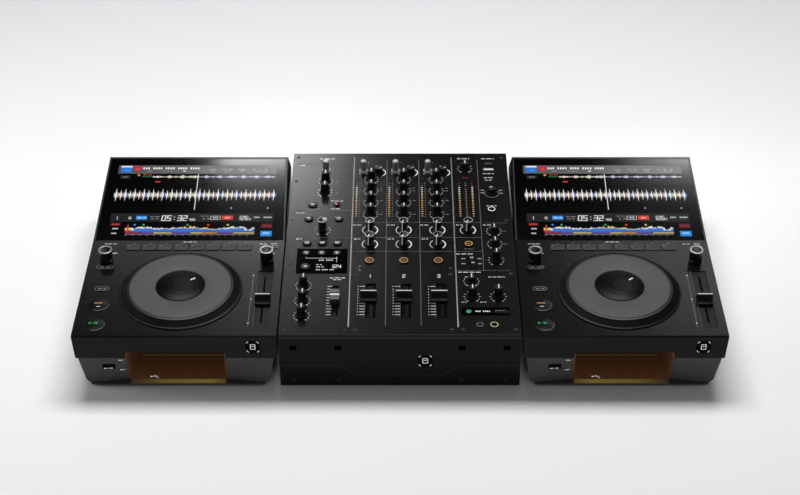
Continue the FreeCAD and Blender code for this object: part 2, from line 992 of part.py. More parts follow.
# ---- mixer -----------------------------------------------------------------------------
def mixer_board_top():
    return mixer_board_z + board_thickness


def mixer_recess():
    """The set-back lower part of the mixer's front, with its raised middle kept."""
    outline = [
        (-mixer_half - 1, -1),
        (mixer_half + 1, -1),
        (mixer_half + 1, recess_side_z),
        (recess_side_half, recess_side_z),
        (recess_middle_half, recess_middle_z),
        (-recess_middle_half, recess_middle_z),
        (-recess_side_half, recess_side_z),
        (-mixer_half - 1, recess_side_z),
    ]
    return along_y(outline, -1, front_recess)


def front_column_places():
    return [side * x for x in (outer_column_x, inner_column_x) for side in (-1, 1)]


def mixer_vents():
    slots = []
    for x in front_column_places():
        slots.append(
            box(
                x - vent_slot_length / 2,
                x + vent_slot_length / 2,
                -1,
                front_recess + wall + 1,
                vent_slot_z - vent_slot_height / 2,
                vent_slot_z + vent_slot_height / 2,
            )
        )
    return slots


def mixer_chassis():
    rim_z = top_z - panel_thickness
    rear_wall_y = mixer_depth - rear_inset
    body = box(-mixer_half, mixer_half, 0, mixer_depth, foot_height, rim_z)
    hollow = box(
        -mixer_half + wall,
        mixer_half - wall,
        front_recess + wall,
        rear_wall_y - wall,
        foot_height + wall,
        rim_z + 1,
    )
    rear_bay = box(
        -mixer_half + rear_cheek,
        mixer_half - rear_cheek,
        rear_wall_y,
        mixer_depth + 1,
        foot_height + rear_frame,
        rim_z - rear_frame,
    )
    cuts = [hollow, rear_bay, mixer_recess()] + mixer_vents()
    return body.cut(cuts).removeSplitter()


def mixer_buttons(grow, z0, z1):
    """Every plain push button on the mixer, its outline grown by a clearance."""
    rounds = [
        (mic_push_x, mic_push_y, push_r),
        (alert_push_x, alert_push_y, alert_push_r),
        (effect_x, effect_push_y, effect_push_r),
        (network_push_x, network_push_y, network_push_r),
    ]
    rounds += [(x, pass_push_y, push_r) for x in pass_push_x]
    rounds += [(x, display_row_y, display_push_r) for x in effect_push_x]
    solids = [button_disc(x, y, r + grow, z0, z1) for x, y, r in rounds]
    solids += [
        pill(x, effect_row_y, effect_pill_length + 2 * grow, pill_width + 2 * grow, z0, z1)
        for x in effect_push_x
    ]
    key = (power_key_length + 2 * grow, power_key_width + 2 * grow)
    solids.append(centred_box(power_key_x, power_key_y, *key, z0, z1))
    return solids


def cue_buttons(grow, z0, z1):
    solids = [button_disc(x, cue_push_y, push_r + grow, z0, z1) for x in channel_x]
    solids.append(button_disc(master_x, master_cue_y, master_cue_r + grow, z0, z1))
    return solids


def toggle_switches():
    foot = mixer_board_top() + shaft_end_gap
    return [
        centred_box(x, y, toggle_length, toggle_width, foot, top_z + toggle_rise)
        for x, y in zip(toggle_x, toggle_ys)
    ]


def toggle_slots():
    length = toggle_length + toggle_travel + 2 * moving_gap
    width = toggle_width + 2 * moving_gap
    return [
        centred_box(x - toggle_travel / 2, y, length, width, top_z - panel_thickness - 1, top_z + 1)
        for x, y in zip(toggle_x, toggle_ys)
    ]


def tall_knob_places():
    places = {"effect_filter_knob": (mic_x, filter_y), "master_filter_knob": (master_x, filter_y)}
    for number, x in enumerate(channel_x, 1):
        places[f"filter_knob_{number}"] = (x, filter_y)
        places[f"colour_knob_{number}"] = (x, colour_y)
    return places


def turning_knob_places():
    return {
        "master_level_knob": (master_x, master_level_y),
        "monitor_level_knob": (monitor_x, monitor_level_y),
        "effect_time_knob": (effect_x, effect_ys[0]),
        "effect_tone_knob": (effect_x, effect_ys[1]),
        "effect_depth_knob": (effect_x, effect_ys[2]),
    }


def tone_knob_solids():
    """The small black knobs: equaliser columns, selectors, microphone, booth and monitor."""
    tall = [(x, y) for x in channel_x for y in tone_ys]
    tall += [(mic_x, y) for y in mic_tone_ys]
    tall += [(split_x, split_y), (booth_x, booth_ys[2])]
    low = [(x + selector_offset_x, selector_y) for x in channel_x]
    low += [(booth_x, booth_ys[0]), (booth_x, booth_ys[1]), (monitor_x, monitor_mix_y)]
    low += [(source_x, source_y)]
    knobs = [skirted_knob(x, y, tone_knob_r, tone_skirt_r, tone_knob_height, 0) for x, y in tall]
    return knobs + [
        skirted_knob(x, y, tone_knob_r, tone_skirt_r, low_knob_height, 0) for x, y in low
    ]


def trim_knob_solids():
    places = [(x + trim_offset_x, trim_y) for x in channel_x] + [(mic_x, trim_y)]
    return [skirted_knob(x, y, trim_knob_r, trim_skirt_r, trim_knob_height, 0) for x, y in places]


def meter_bars(grow, z0, z1):
    middle_y = (meter_front_y + meter_back_y) / 2
    length = meter_back_y - meter_front_y
    xs = [x + meter_offset_x for x in channel_x]
    xs += [master_x + i * master_meter_pitch for i in (-1, 0, 1)]
    size = (meter_width + 2 * grow, length + 2 * grow)
    return [centred_box(x, middle_y, *size, z0, z1) for x in xs]


def mixer_usb_socket(grow):
    return centred_box(
        mixer_usb_x,
        mixer_usb_y,
        usb_length + 2 * grow,
        usb_height + 2 * grow,
        top_z - usb_depth,
        top_z + grow,
    )


def mixer_usb():
    mouth = mixer_usb_socket(-usb_shell)
    mouth.translate(Vector(0, 0, 2 * usb_shell))
    tongue = centred_box(
        mixer_usb_x,
        mixer_usb_y,
        usb_length - 4 * usb_shell,
        usb_tongue,
        top_z - usb_depth,
        top_z - usb_shell,
    )
    return mixer_usb_socket(0).cut(mouth).fuse(tongue).removeSplitter()


def jack_places():
    return [
        (large_jack_x, jack_y, large_jack_r, large_jack_bore_r, large_jack_bore_length),
        (small_jack_x, jack_y, small_jack_r, small_jack_bore_r, small_jack_bore_length),
    ]


def headphone_jacks():
    """Two barrels with a collar on the panel, each with a blind bore from above."""
    jacks = []
    for x, y, r, bore_r, bore_length in jack_places():
        barrel_r = bore_r + jack_barrel_wall
        mouth = top_z + jack_rise
        foot = mouth - bore_length - wall
        barrel = faceted(knob_sides, x, y, [(barrel_r, foot), (barrel_r, mouth)])
        collar = faceted(button_sides, x, y, [(r, top_z), (r, mouth)])
        bore = disc(x, y, bore_r, mouth - bore_length, mouth + 1)
        jacks.append(barrel.fuse(collar).cut(bore).removeSplitter())
    return jacks


def mixer_top_panel():
    below = top_z - panel_thickness
    through = (below - 1, top_z + 1)
    panel = box(-mixer_half, mixer_half, 0, mixer_depth, below, top_z)
    chamfer = [(-1, top_z + 1), (-1, below - 1), (panel_thickness + 1, top_z + 1)]
    readout = box(
        readout_left_x - fixed_gap,
        readout_right_x + fixed_gap,
        readout_front_y - fixed_gap,
        readout_back_y + fixed_gap,
        top_z - readout_thickness,
        top_z + 1,
    )
    trough_length = fader_travel + fader_cap_length + moving_gap
    mix_length = mix_fader_travel + mix_cap_length + moving_gap
    cuts = [along_x(chamfer, -mixer_width, mixer_width), readout]
    for x in channel_x:
        middle = x + fader_trough_shift
        cuts.append(fader_trough(middle, fader_middle_y, fader_trough_width, trough_length))
        cuts.append(fader_slot(x, fader_middle_y, fader_travel))
    cuts.append(fader_trough(mix_fader_x, fader_middle_y, mix_trough_width, mix_length))
    cuts.append(fader_slot(mix_fader_x, fader_middle_y, mix_fader_travel))
    cuts += mixer_buttons(moving_gap, *through) + cue_buttons(moving_gap, *through)
    cuts += toggle_slots() + meter_bars(fixed_gap, *through) + [mixer_usb_socket(fixed_gap)]
    places = list(tall_knob_places().values()) + list(turning_knob_places().values())
    cuts += [shaft_hole(x, y) for x, y in places]
    for x, y, _, bore_r, _ in jack_places():
        hole_r = bore_r + jack_barrel_wall + fixed_gap
        cuts.append(faceted(knob_sides, x, y, [(hole_r, through[0]), (hole_r, through[1])]))
    bosses = mixer_board_bosses(mixer_board_top(), below + 1)
    return panel.fuse(bosses).cut(cuts).removeSplitter()


def mixer_board_bosses(z0, z1):
    half = mixer_board_half - boss_inset
    ys = (mixer_board_front_y + boss_inset, mixer_board_back_y - boss_inset)
    return [centred_box(x, y, boss_size, boss_size, z0, z1) for x, y in mirrored_pairs(half, ys)]


def mixer_display():
    glass = box(
        readout_left_x,
        readout_right_x,
        readout_front_y,
        readout_back_y,
        top_z - readout_thickness,
        top_z,
    )
    return glass.cut(mixer_buttons(moving_gap, top_z - panel_thickness, top_z + 1)).removeSplitter()


def mixer_board():
    return box(
        -mixer_board_half,
        mixer_board_half,
        mixer_board_front_y,
        mixer_board_back_y,
        mixer_board_z,
        mixer_board_top(),
    )


def mixer_rear_sockets():
    """Line inputs, two balanced outputs and the mains inlet in the mixer's rear bay."""
    y = mixer_depth - rear_inset
    jack_xs = [x + side * rca_pitch / 2 for x in channel_x for side in (-1, 1)]
    rows = (socket_row_z, socket_row_z + rca_row_pitch)
    jacks = [rear_jack(x, y, z) for x in jack_xs for z in rows]
    xlr_xs = [master_x + side * xlr_pitch / 2 for side in (-1, 1)]
    outputs = [rear_barrel(x, y, socket_row_z, xlr_r, xlr_reach, button_sides) for x in xlr_xs]
    inlet = box(
        mic_x - inlet_width / 2,
        mic_x + inlet_width / 2,
        y,
        y + inlet_reach,
        socket_row_z - inlet_height / 2,
        socket_row_z + inlet_height / 2,
    )
    return jacks + outputs + [inlet]


def channel_fader(x):
    outline = ridged_outline(fader_rest_y, fader_cap_length)
    stem_foot_z = mixer_board_top() + shaft_end_gap
    return fader_cap(outline, x, fader_rest_y, fader_cap_width, stem_foot_z)


def mix_fader():
    outline = dished_outline(mix_fader_rest_y, mix_cap_length, mix_cap_height)
    stem_foot_z = mixer_board_top() + shaft_end_gap
    return fader_cap(outline, mix_fader_x, mix_fader_rest_y, mix_cap_width, stem_foot_z)


# ---- feet and screws -------------------------------------------------------------------
def foot_places(foot_x, depth):
    return mirrored_pairs(foot_x, (foot_front_y, depth - foot_back_margin))


def feet(foot_x, depth):
    steps = [(foot_r - foot_taper, 0), (foot_r, foot_height)]
    return [faceted(knob_sides, x, y, steps) for x, y in foot_places(foot_x, depth)]


def top_screw_places():
    """Screws along the panel's edges and beside the two long divider bars."""
    edge_x = mixer_half - edge_screw_inset
    places = [(x, front_screw_y) for x in (-edge_x, *front_screw_x, edge_x)]
    places += [(-edge_x, y) for y in left_screw_ys] + [(edge_x, y) for y in right_screw_ys]
    places += [(-edge_x, back_screw_y), (edge_x, back_screw_y)]
    return places + [(x, y) for x in divider_screw_x for y in divider_screw_ys]


def screw_head(x, y, z):
    return faceted(screw_sides, x, y, [(screw_r, z), (screw_top_r, z + screw_rise)])


def panel_screws():
    front = []
    for x in front_column_places():
        head = screw_head(0, 0, 0)
        head.rotate(Vector(0, 0, 0), Vector(1, 0, 0), 90)
        front.append(head.translated(Vector(x, front_recess, front_screw_z)))
    return [screw_head(x, y, top_z) for x, y in top_screw_places()] + front


# ---- assembly --------------------------------------------------------------------------
def placed(solids, offset_x):
    return [s.translated(Vector(offset_x, -console_middle_y, 0)) for s in solids]


def in_decks(solids):
    """The same solids in both decks, as one list."""
    return placed(solids, -deck_offset_x) + placed(solids, deck_offset_x)


def deck_nodes():
    return {
        "deck_base": [deck_base()],
        "deck_top_cover": [deck_top_cover()],
        "deck_display": [deck_display()],
        "jog_wheel": [jog_wheel()],
        "tempo_fader": [tempo_fader()],
        "browse_knob": [deck_knob(1)],
        "loop_knob": [deck_knob(-1)],
        "play_button": [transport_button(play_y)],
        "cue_button": [transport_button(cue_y)],
        "hot_cue_buttons": hot_cue_buttons(),
        "mode_buttons": mode_buttons(),
        "eject_button": [eject_button()],
    }


def mixer_nodes():
    button_span = (button_foot(mixer_board_top()), top_z + push_rise)
    nodes = {
        "mixer_chassis": [mixer_chassis()],
        "mixer_top_panel": [mixer_top_panel()],
        "mixer_display": [mixer_display()],
        "level_meters": meter_bars(0, top_z - meter_depth, top_z + meter_proud),
        "headphone_jacks": headphone_jacks(),
        "mixer_buttons": mixer_buttons(0, *button_span),
        "cue_buttons": cue_buttons(0, *button_span),
        "toggle_switches": toggle_switches(),
        "tone_knobs": tone_knob_solids(),
        "trim_knobs": trim_knob_solids(),
        "mix_fader": [mix_fader()],
        "panel_screws": panel_screws(),
    }
    for number, x in enumerate(channel_x, 1):
        nodes[f"channel_fader_{number}"] = [channel_fader(x)]
    for name, (x, y) in tall_knob_places().items():
        nodes[name] = [
            rimmed_knob(
                x, y, tall_knob_r, tall_rim_r, tall_knob_height, tall_rim_height, mixer_board_top()
            )
        ]
    for name, (x, y) in turning_knob_places().items():
        height = master_level_height if name == "master_level_knob" else tone_knob_height
        nodes[name] = [turning_knob(x, y, height, mixer_board_top())]
    return nodes


def all_nodes():
    nodes = {}
    for name, solids in deck_nodes().items():
        nodes["left_" + name] = placed(solids, -deck_offset_x)
        nodes["right_" + name] = placed(solids, deck_offset_x)
    for name, solids in mixer_nodes().items():
        nodes[name] = placed(solids, 0)
    nodes["jog_centre_displays"] = in_decks([jog_centre_display()])
    nodes["disc_drives"] = in_decks(disc_drive())
    nodes["bay_housings"] = in_decks([bay_housing()])
    nodes["bay_light_panels"] = in_decks([bay_light()])
    nodes["circuit_boards"] = in_decks([deck_board()]) + placed([mixer_board()], 0)
    nodes["usb_sockets"] = in_decks(bay_usb_sockets()) + placed([mixer_usb()], 0)
    nodes["rear_sockets"] = in_decks(deck_rear_sockets()) + placed(mixer_rear_sockets(), 0)
    nodes["rubber_feet"] = in_decks(feet(deck_foot_x, deck_depth)) + placed(
        feet(mixer_foot_x, mixer_depth), 0
    )
    return nodes


os.makedirs("parts", exist_ok=True)
for name, solids in all_nodes().items():
    shape = solids[0] if len(solids) == 1 else Part.makeCompound(solids)
    shape.exportStep(f"parts/{name}.step")
    print(f"{name:24s} {len(shape.Solids):3d} solids  valid {shape.isValid()}")
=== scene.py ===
import random
from math import atan2, cos, exp, hypot, pi, radians, sin, sqrt

import bpy
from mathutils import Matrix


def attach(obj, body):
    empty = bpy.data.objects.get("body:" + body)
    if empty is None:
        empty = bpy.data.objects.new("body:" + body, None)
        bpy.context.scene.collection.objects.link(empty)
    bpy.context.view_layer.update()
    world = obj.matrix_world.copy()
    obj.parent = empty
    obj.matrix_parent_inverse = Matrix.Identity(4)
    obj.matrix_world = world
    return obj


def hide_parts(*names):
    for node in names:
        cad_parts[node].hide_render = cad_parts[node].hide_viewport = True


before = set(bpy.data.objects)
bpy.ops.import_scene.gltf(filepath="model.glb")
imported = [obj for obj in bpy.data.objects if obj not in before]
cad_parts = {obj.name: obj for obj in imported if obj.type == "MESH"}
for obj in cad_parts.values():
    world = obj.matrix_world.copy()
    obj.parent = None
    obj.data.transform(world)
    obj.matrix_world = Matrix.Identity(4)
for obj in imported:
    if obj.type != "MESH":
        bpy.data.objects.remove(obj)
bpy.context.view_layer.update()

# Lengths are written in millimetres and become metres when a piece is placed. Deck places are
# measured from the deck's centre line and front face, mixer places from the mixer's.
MM = 0.001
DECK_X = 352.5  # a deck's centre line from the console's
JOG_Y = 113.6  # the jog wheels' centres
MIDDLE_Y = 253.5  # the front faces from the console's middle
PANEL_Z = 106  # the height of the decks' and the mixer's panels
TROUGH_Z = 104.2  # the floors of the fader troughs
BAY_Z = 7.5  # the floors of the lit bays
INK = 0.08  # how far printed marks stand out
SUNK = -0.02  # how far marks reach into what carries them


# ---- materials ----
def linear(rgb):
    """The shader's colour for one given as 0 to 255 on screen; a single number is a grey."""
    values = [c / 255 for c in ((rgb,) * 3 if isinstance(rgb, int) else rgb)]
    return [v / 12.92 if v <= 0.04045 else ((v + 0.055) / 1.055) ** 2.4 for v in values]


def shader(name, values):
    """A new material, its tree and its main shader with these values set."""
    m = bpy.data.materials.new(name)
    m.use_nodes = True
    m.diffuse_color = (0.1, 0.1, 0.1, 1)
    bsdf = m.node_tree.nodes["Principled BSDF"]
    for socket, value in values.items():
        bsdf.inputs[socket].default_value = value
    return m, m.node_tree, bsdf


def add_node(tree, kind, values=None, **links):
    """A new node with values set on its sockets, and others linked."""
    node = tree.nodes.new("ShaderNode" + kind)
    for socket, value in (values or {}).items():
        node.inputs[socket].default_value = value
    for socket, source in links.items():
        tree.links.new(source, node.inputs[socket])
    return node


def noise(tree, scale, detail=3, stretch=None):
    source = add_node(tree, "TexCoord").outputs["Object"]
    if stretch:
        source = add_node(tree, "Mapping", {"Scale": stretch}, Vector=source).outputs["Vector"]
    values = {"Scale": scale, "Detail": detail}
    return add_node(tree, "TexNoise", values, Vector=source).outputs["Fac"]


def along(tree, space, axis):
    place = add_node(tree, "TexCoord").outputs[space]
    return add_node(tree, "SeparateXYZ", Vector=place).outputs[axis]


def ranged(tree, value, low=0, high=1, start=0.3, end=0.7):
    values = {"From Min": start, "From Max": end, "To Min": low, "To Max": high}
    return add_node(tree, "MapRange", values, Value=value).outputs["Result"]


def blended(tree, value, first, second):
    mix = tree.nodes.new("ShaderNodeMix")
    mix.data_type = "RGBA"
    mix.inputs["A"].default_value = (*first, 1)
    mix.inputs["B"].default_value = (*second, 1)
    tree.links.new(value, mix.inputs["Factor"])
    return mix.outputs["Result"]


def bumped(tree, bsdf, height, strength, soften=0):
    bump = add_node(tree, "Bump", {"Strength": strength, "Distance": 0.0002}, Height=height)
    if soften:
        bevel = add_node(tree, "Bevel", {"Radius": soften})
        bevel.samples = 4
        tree.links.new(bevel.outputs["Normal"], bump.inputs["Normal"])
    tree.links.new(bump.outputs["Normal"], bsdf.inputs["Normal"])


def plastic(
    name, rgb, rough, specular=0.3, shade=0.07, grain=2600, depth=0.06, soften=0, metal=0,
    uneven=0.05,
):
    """A moulded or painted surface: cloudy colour, uneven gloss and a fine grain."""
    m, tree, bsdf = shader(name, {"Specular IOR Level": specular, "Metallic": metal})
    deep, pale = ([min(1, c * (1 + s)) for c in linear(rgb)] for s in (-shade, shade))
    colour = blended(tree, ranged(tree, noise(tree, 38, 4)), deep, pale)
    tree.links.new(colour, bsdf.inputs["Base Color"])
    gloss = ranged(tree, noise(tree, 150), rough * (1 - uneven), rough * (1 + uneven))
    tree.links.new(gloss, bsdf.inputs["Roughness"])
    bumped(tree, bsdf, noise(tree, grain, 2), depth, soften)
    return m


def brushed(name, rgb, rough):
    m, tree, bsdf = shader(name, {"Metallic": 1})
    base = linear(rgb)
    streaks = noise(tree, 90, 3, (1, 40, 40))
    colour = blended(tree, ranged(tree, streaks), [c * 0.85 for c in base], base)
    tree.links.new(colour, bsdf.inputs["Base Color"])
    gloss = ranged(tree, streaks, rough * 0.8, rough * 1.25)
    tree.links.new(gloss, bsdf.inputs["Roughness"])
    bumped(tree, bsdf, streaks, 0.1)
    return m


def lamp(name, rgb, strength=1, base=2):
    """A lit part, uneven as a real lamp is; on print, lines and edges its glow is painted light.
    """
    m, tree, bsdf = shader(name, {
        "Base Color": (*linear(base), 1), "Roughness": 0.115 if base == 2 else 0.4,
        "Specular IOR Level": 0.22, "Emission Strength": strength,
    })
    glow = linear(rgb)
    colour = blended(tree, ranged(tree, noise(tree, 700)), [c * 0.82 for c in glow], glow)
    tree.links.new(colour, bsdf.inputs["Emission Color"])
    return m


def glow_along(name, axis, start, end, stops, base, strength=1):
    """A panel glowing along the object's own X or Y: edge-lit on the bay floor, painted light
    elsewhere.
    """
    m, tree, bsdf = shader(name, {
        "Base Color": (*linear(base), 1), "Roughness": 0.35, "Emission Strength": strength,
    })
    part = ranged(tree, along(tree, "Object", axis), 0, 1, start * MM, end * MM)
    ramp = add_node(tree, "ValToRGB", Fac=part)
    elements = ramp.color_ramp.elements
    while len(elements) < len(stops):
        elements.new(0.5)
    for element, (where, rgb) in zip(elements, stops):
        element.position = where
        element.color = (*linear(rgb), 1)
    tree.links.new(ramp.outputs["Color"], bsdf.inputs["Emission Color"])
    bumped(tree, bsdf, noise(tree, 900), 0.1)
    return m


PAINTED = {"depth": 0.006, "shade": 0.04, "uneven": 0.015}
SATIN = {"grain": 900, "depth": 0.02}
cover_black = plastic("cover_black", (13, 13, 12), 0.22, 0.12, 0.04, depth=0.02, soften=0.0008)
casing_black = plastic("casing_black", (76, 76, 75), 0.5, 0.12, 0.05, soften=0.0008)
panel_black = plastic("panel_black", 10, 0.27, 0.14, soften=0.0006, **PAINTED)
chassis_black = plastic("chassis_black", 22, 0.5, 0.08, soften=0.0006)
glass_black = plastic("glass_black", 1, 0.115, 0.2, 0, grain=400, depth=0)
dome_black = plastic("dome_black", 4, 0.3, 0.08, 0.02, uneven=0, grain=300, depth=0)
readout_black = plastic("readout_black", 2, 0.13, 0.02, 0.02, grain=300, depth=0)
jog_grey = plastic("jog_grey", 75, 0.45, 0.2, 0.04)
knurl_black = plastic("knurl_black", 11, 0.5, 0.1, 0.05)
jog_edge = plastic("jog_edge", 12, 0.4, shade=0.05)
key_grey = plastic("key_grey", (40, 40, 39), 0.5)
round_key = plastic("round_key", 10, 0.27, 0.16, **PAINTED)
deck_key = plastic("deck_key", (15, 15, 14), 0.25, 0.12, 0.05, depth=0.02)
knob_black = plastic("knob_black", 11, 0.4, 0.16, grain=1800, depth=0.1)
gloss_knob = plastic("gloss_knob", (10, 10, 11), 0.24, 0.2, **SATIN)
slot_black = plastic("slot_black", 5, 0.8, 0.05)
trough_black = plastic("trough_black", 17, 0.45, 0.15, 0.05)
trough_painted_shade = plastic("trough_painted_shade", 7, 0.9, 0.05, grain=5200, depth=0.4)
cap_black = plastic("cap_black", 13, 0.4, 0.12)
cap_grey = plastic("cap_grey", (44, 44, 45), 0.4, 0.4, 0.05)
ledge_painted_highlight = plastic("ledge_painted_highlight", 74, 0.5, shade=0.05)
ring_silver = plastic("ring_silver", (134, 134, 137), 0.34, 0.5, 0.03, metal=0.9, **SATIN)
rim_bright = plastic("rim_bright", (172, 172, 175), 0.32, 0.5, 0.03, metal=0.8, **SATIN)
facet_black = plastic("facet_black", (17, 18, 23), 0.3, 0.5, 0.04, **SATIN)
trim_top = plastic("trim_top", (168, 168, 170), 0.4, 0.4, 0.04)
# the fader caps' glowing white line, and a painted highlight down the tall knobs' sides
cap_line_and_painted_highlight = lamp("cap_line_and_painted_highlight", 176, 0.6, 170)
rail_silver = plastic(
    "rail_silver", (140, 140, 143), 0.36, 0.5, 0.03, grain=600, depth=0.01, metal=0.7,
)
line_grey = plastic("line_grey", 92, 0.5, shade=0.05)
casing_line = plastic("casing_line", 58, 0.5, 0.08)
chamfer_painted_sheen = plastic("chamfer_painted_sheen", 34, 0.45, 0.12)
# light lines along edges and bevels: painted highlights
painted_edge_highlight = plastic("painted_edge_highlight", 74, 0.4, shade=0.05)
trim_grey = plastic("trim_grey", (124, 124, 126), 0.4, 0.5, 0.05)
# real silver on key rims and levers, and painted highlights on button and screw rims
silver_and_painted_highlight = plastic("silver_and_painted_highlight", (150, 150, 152), 0.35, 0.5, metal=0.6)
screw_metal = plastic("screw_metal", 22, 0.4, metal=0.3)
cream = plastic("cream", (196, 184, 140), 0.4, 0.4, 0.04)
plated_steel = brushed("plated_steel", (150, 150, 152), 0.35)
board_green = plastic("board_green", (16, 62, 34), 0.45, grain=700, depth=0.3)
socket_black = plastic("socket_black", 16, 0.45)
rubber = plastic("rubber", 14, 0.85, 0.2, grain=1500, depth=0.4)
lens_dark = plastic("lens_dark", 10, 0.2, grain=600, depth=0.03)
# printed marks, given a painted glow on top of their colour
ink_white_glow = lamp("ink_white_glow", 200, 0.62, 200)
ink_grey_glow = lamp("ink_grey_glow", 120, 0.3, 120)
meter_tints = [lamp("led_" + name, *look) for name, *look in (
    ("white", (245, 240, 228)), ("dot", (170, 170, 165), 0.8), ("amber", (252, 218, 150), 0.95),
    ("orange", (246, 180, 112), 0.95), ("pink", (142, 58, 72), 0.9), ("green", (72, 190, 110)),
)]
badge_teal = lamp("badge_teal", (66, 176, 138), 0.8)
teal_dim = lamp("teal_dim", (26, 62, 52), 0.9)
alert_red = lamp("alert_red", (128, 30, 62), 0.9)
cue_amber = lamp("cue_amber", (204, 156, 98))
cue_gold = lamp("cue_gold", (206, 156, 84))
play_green = lamp("play_green", (66, 176, 98))
lit_white = lamp("lit_white", (240, 242, 246))
screen_tints = [lamp("screen_" + name, *look) for name, *look in (
    ("blue", (58, 120, 214)), ("sky", (40, 150, 240)), ("orange", (236, 150, 60)),
    ("red", (224, 74, 52)), ("pink", (190, 60, 90), 0.9), ("green", (60, 170, 110)),
    ("violet", (120, 90, 190)), ("sand", (226, 200, 120)), ("bar", (36, 37, 39)),
    ("dim", (9, 9, 10)), ("maroon", (96, 32, 38)), ("grey", (150, 150, 152)),
)]
bay_back_edge_painted_reflection = lamp("bay_back_edge_painted_reflection", (80, 60, 26), 0.9)
pod_edge_painted_highlight = lamp("pod_edge_painted_highlight", (50, 46, 40), 0.7, (40, 38, 34))
# the bay's plastic walls glow with painted amber light, darker towards the back
painted_bay_wall_glow = glow_along(
    "smoked_plastic", "Y", -253.5, -182.5,
    [(0, (66, 40, 23)), (0.3, (50, 29, 16)), (1, (28, 16, 9))], (40, 24, 12), 0.7,
)
bay_glow = glow_along(
    "bay_glow", "Y", 2 - MIDDLE_Y, 71 - MIDDLE_Y,
    [(0, (60, 38, 21)), (0.2, (53, 31, 17)), (0.6, (43, 25, 13)), (1, (34, 19, 10))], (30, 16, 8),
)
# the screens' title bars brighten towards their right ends: a painted reflection
title_bars_painted_sheen, amber_bands = {}, {}
for number, side, sign in ((1, "left", -1), (2, "right", 1)):
    title_bars_painted_sheen[side] = glow_along(
        f"title_bar_painted_sheen_{number}", "X", sign * DECK_X - 138, sign * DECK_X + 138,
        [(0, (12, 12, 13)), (0.45, (20, 20, 21)), (1, (62, 62, 64))], 2,
    )
    amber_bands[side] = glow_along(
        f"amber_band_{number}", "X", sign * (DECK_X + 72), sign * (DECK_X - 77),
        [
            (0, (40, 38, 32)), (0.12, (62, 52, 28)), (0.3, (86, 74, 32)), (0.8, (100, 87, 38)),
            (1, (66, 57, 32)),
        ], (60, 50, 24),
    )


# ---- making shapes ----
def circle(x, y, r, sides=48):
    """A circle as an outline that can grow."""
    turns = [2 * pi * i / sides for i in range(sides)]
    return lambda grow: [(x + (r + grow) * cos(t), y + (r + grow) * sin(t)) for t in turns]


def tablet(x, y, length, width, corner, sides=5):
    """A rectangle with round corners, as an outline that can grow."""
    def outline(grow):
        r = max(corner + grow, 0.01)
        a, b = length / 2 + grow - r, width / 2 + grow - r
        points = []
        for k, (sx, sy) in enumerate(((1, 1), (-1, 1), (-1, -1), (1, -1))):
            for i in range(sides + 1):
                t = pi / 2 * (k + i / sides)
                points.append((x + sx * a + r * cos(t), y + sy * b + r * sin(t)))
        return points
    return outline


def level(height):
    return lambda u, v, w: (u, v, height + w)


def on_screen(u, v, w):
    """v runs up the screen's slope and w stands out from its glass."""
    back, rise = 203, 31
    dy, dz = back / hypot(back, rise), rise / hypot(back, rise)
    return u, 247 + v * dy - w * dz, PANEL_Z + v * dz + w * dy


def on_pod(u, v, w):
    """The pods lean back towards the floor and turn back towards the bay."""
    toe = 14.5 - 11.5 * (abs(u) - 76.5) / 77.5
    return u, 1.5 + (toe - 1.5) * (61.5 - v) / 58.5 - w, v


def facing_front(y):
    return lambda u, v, w: (u, y - w, v)


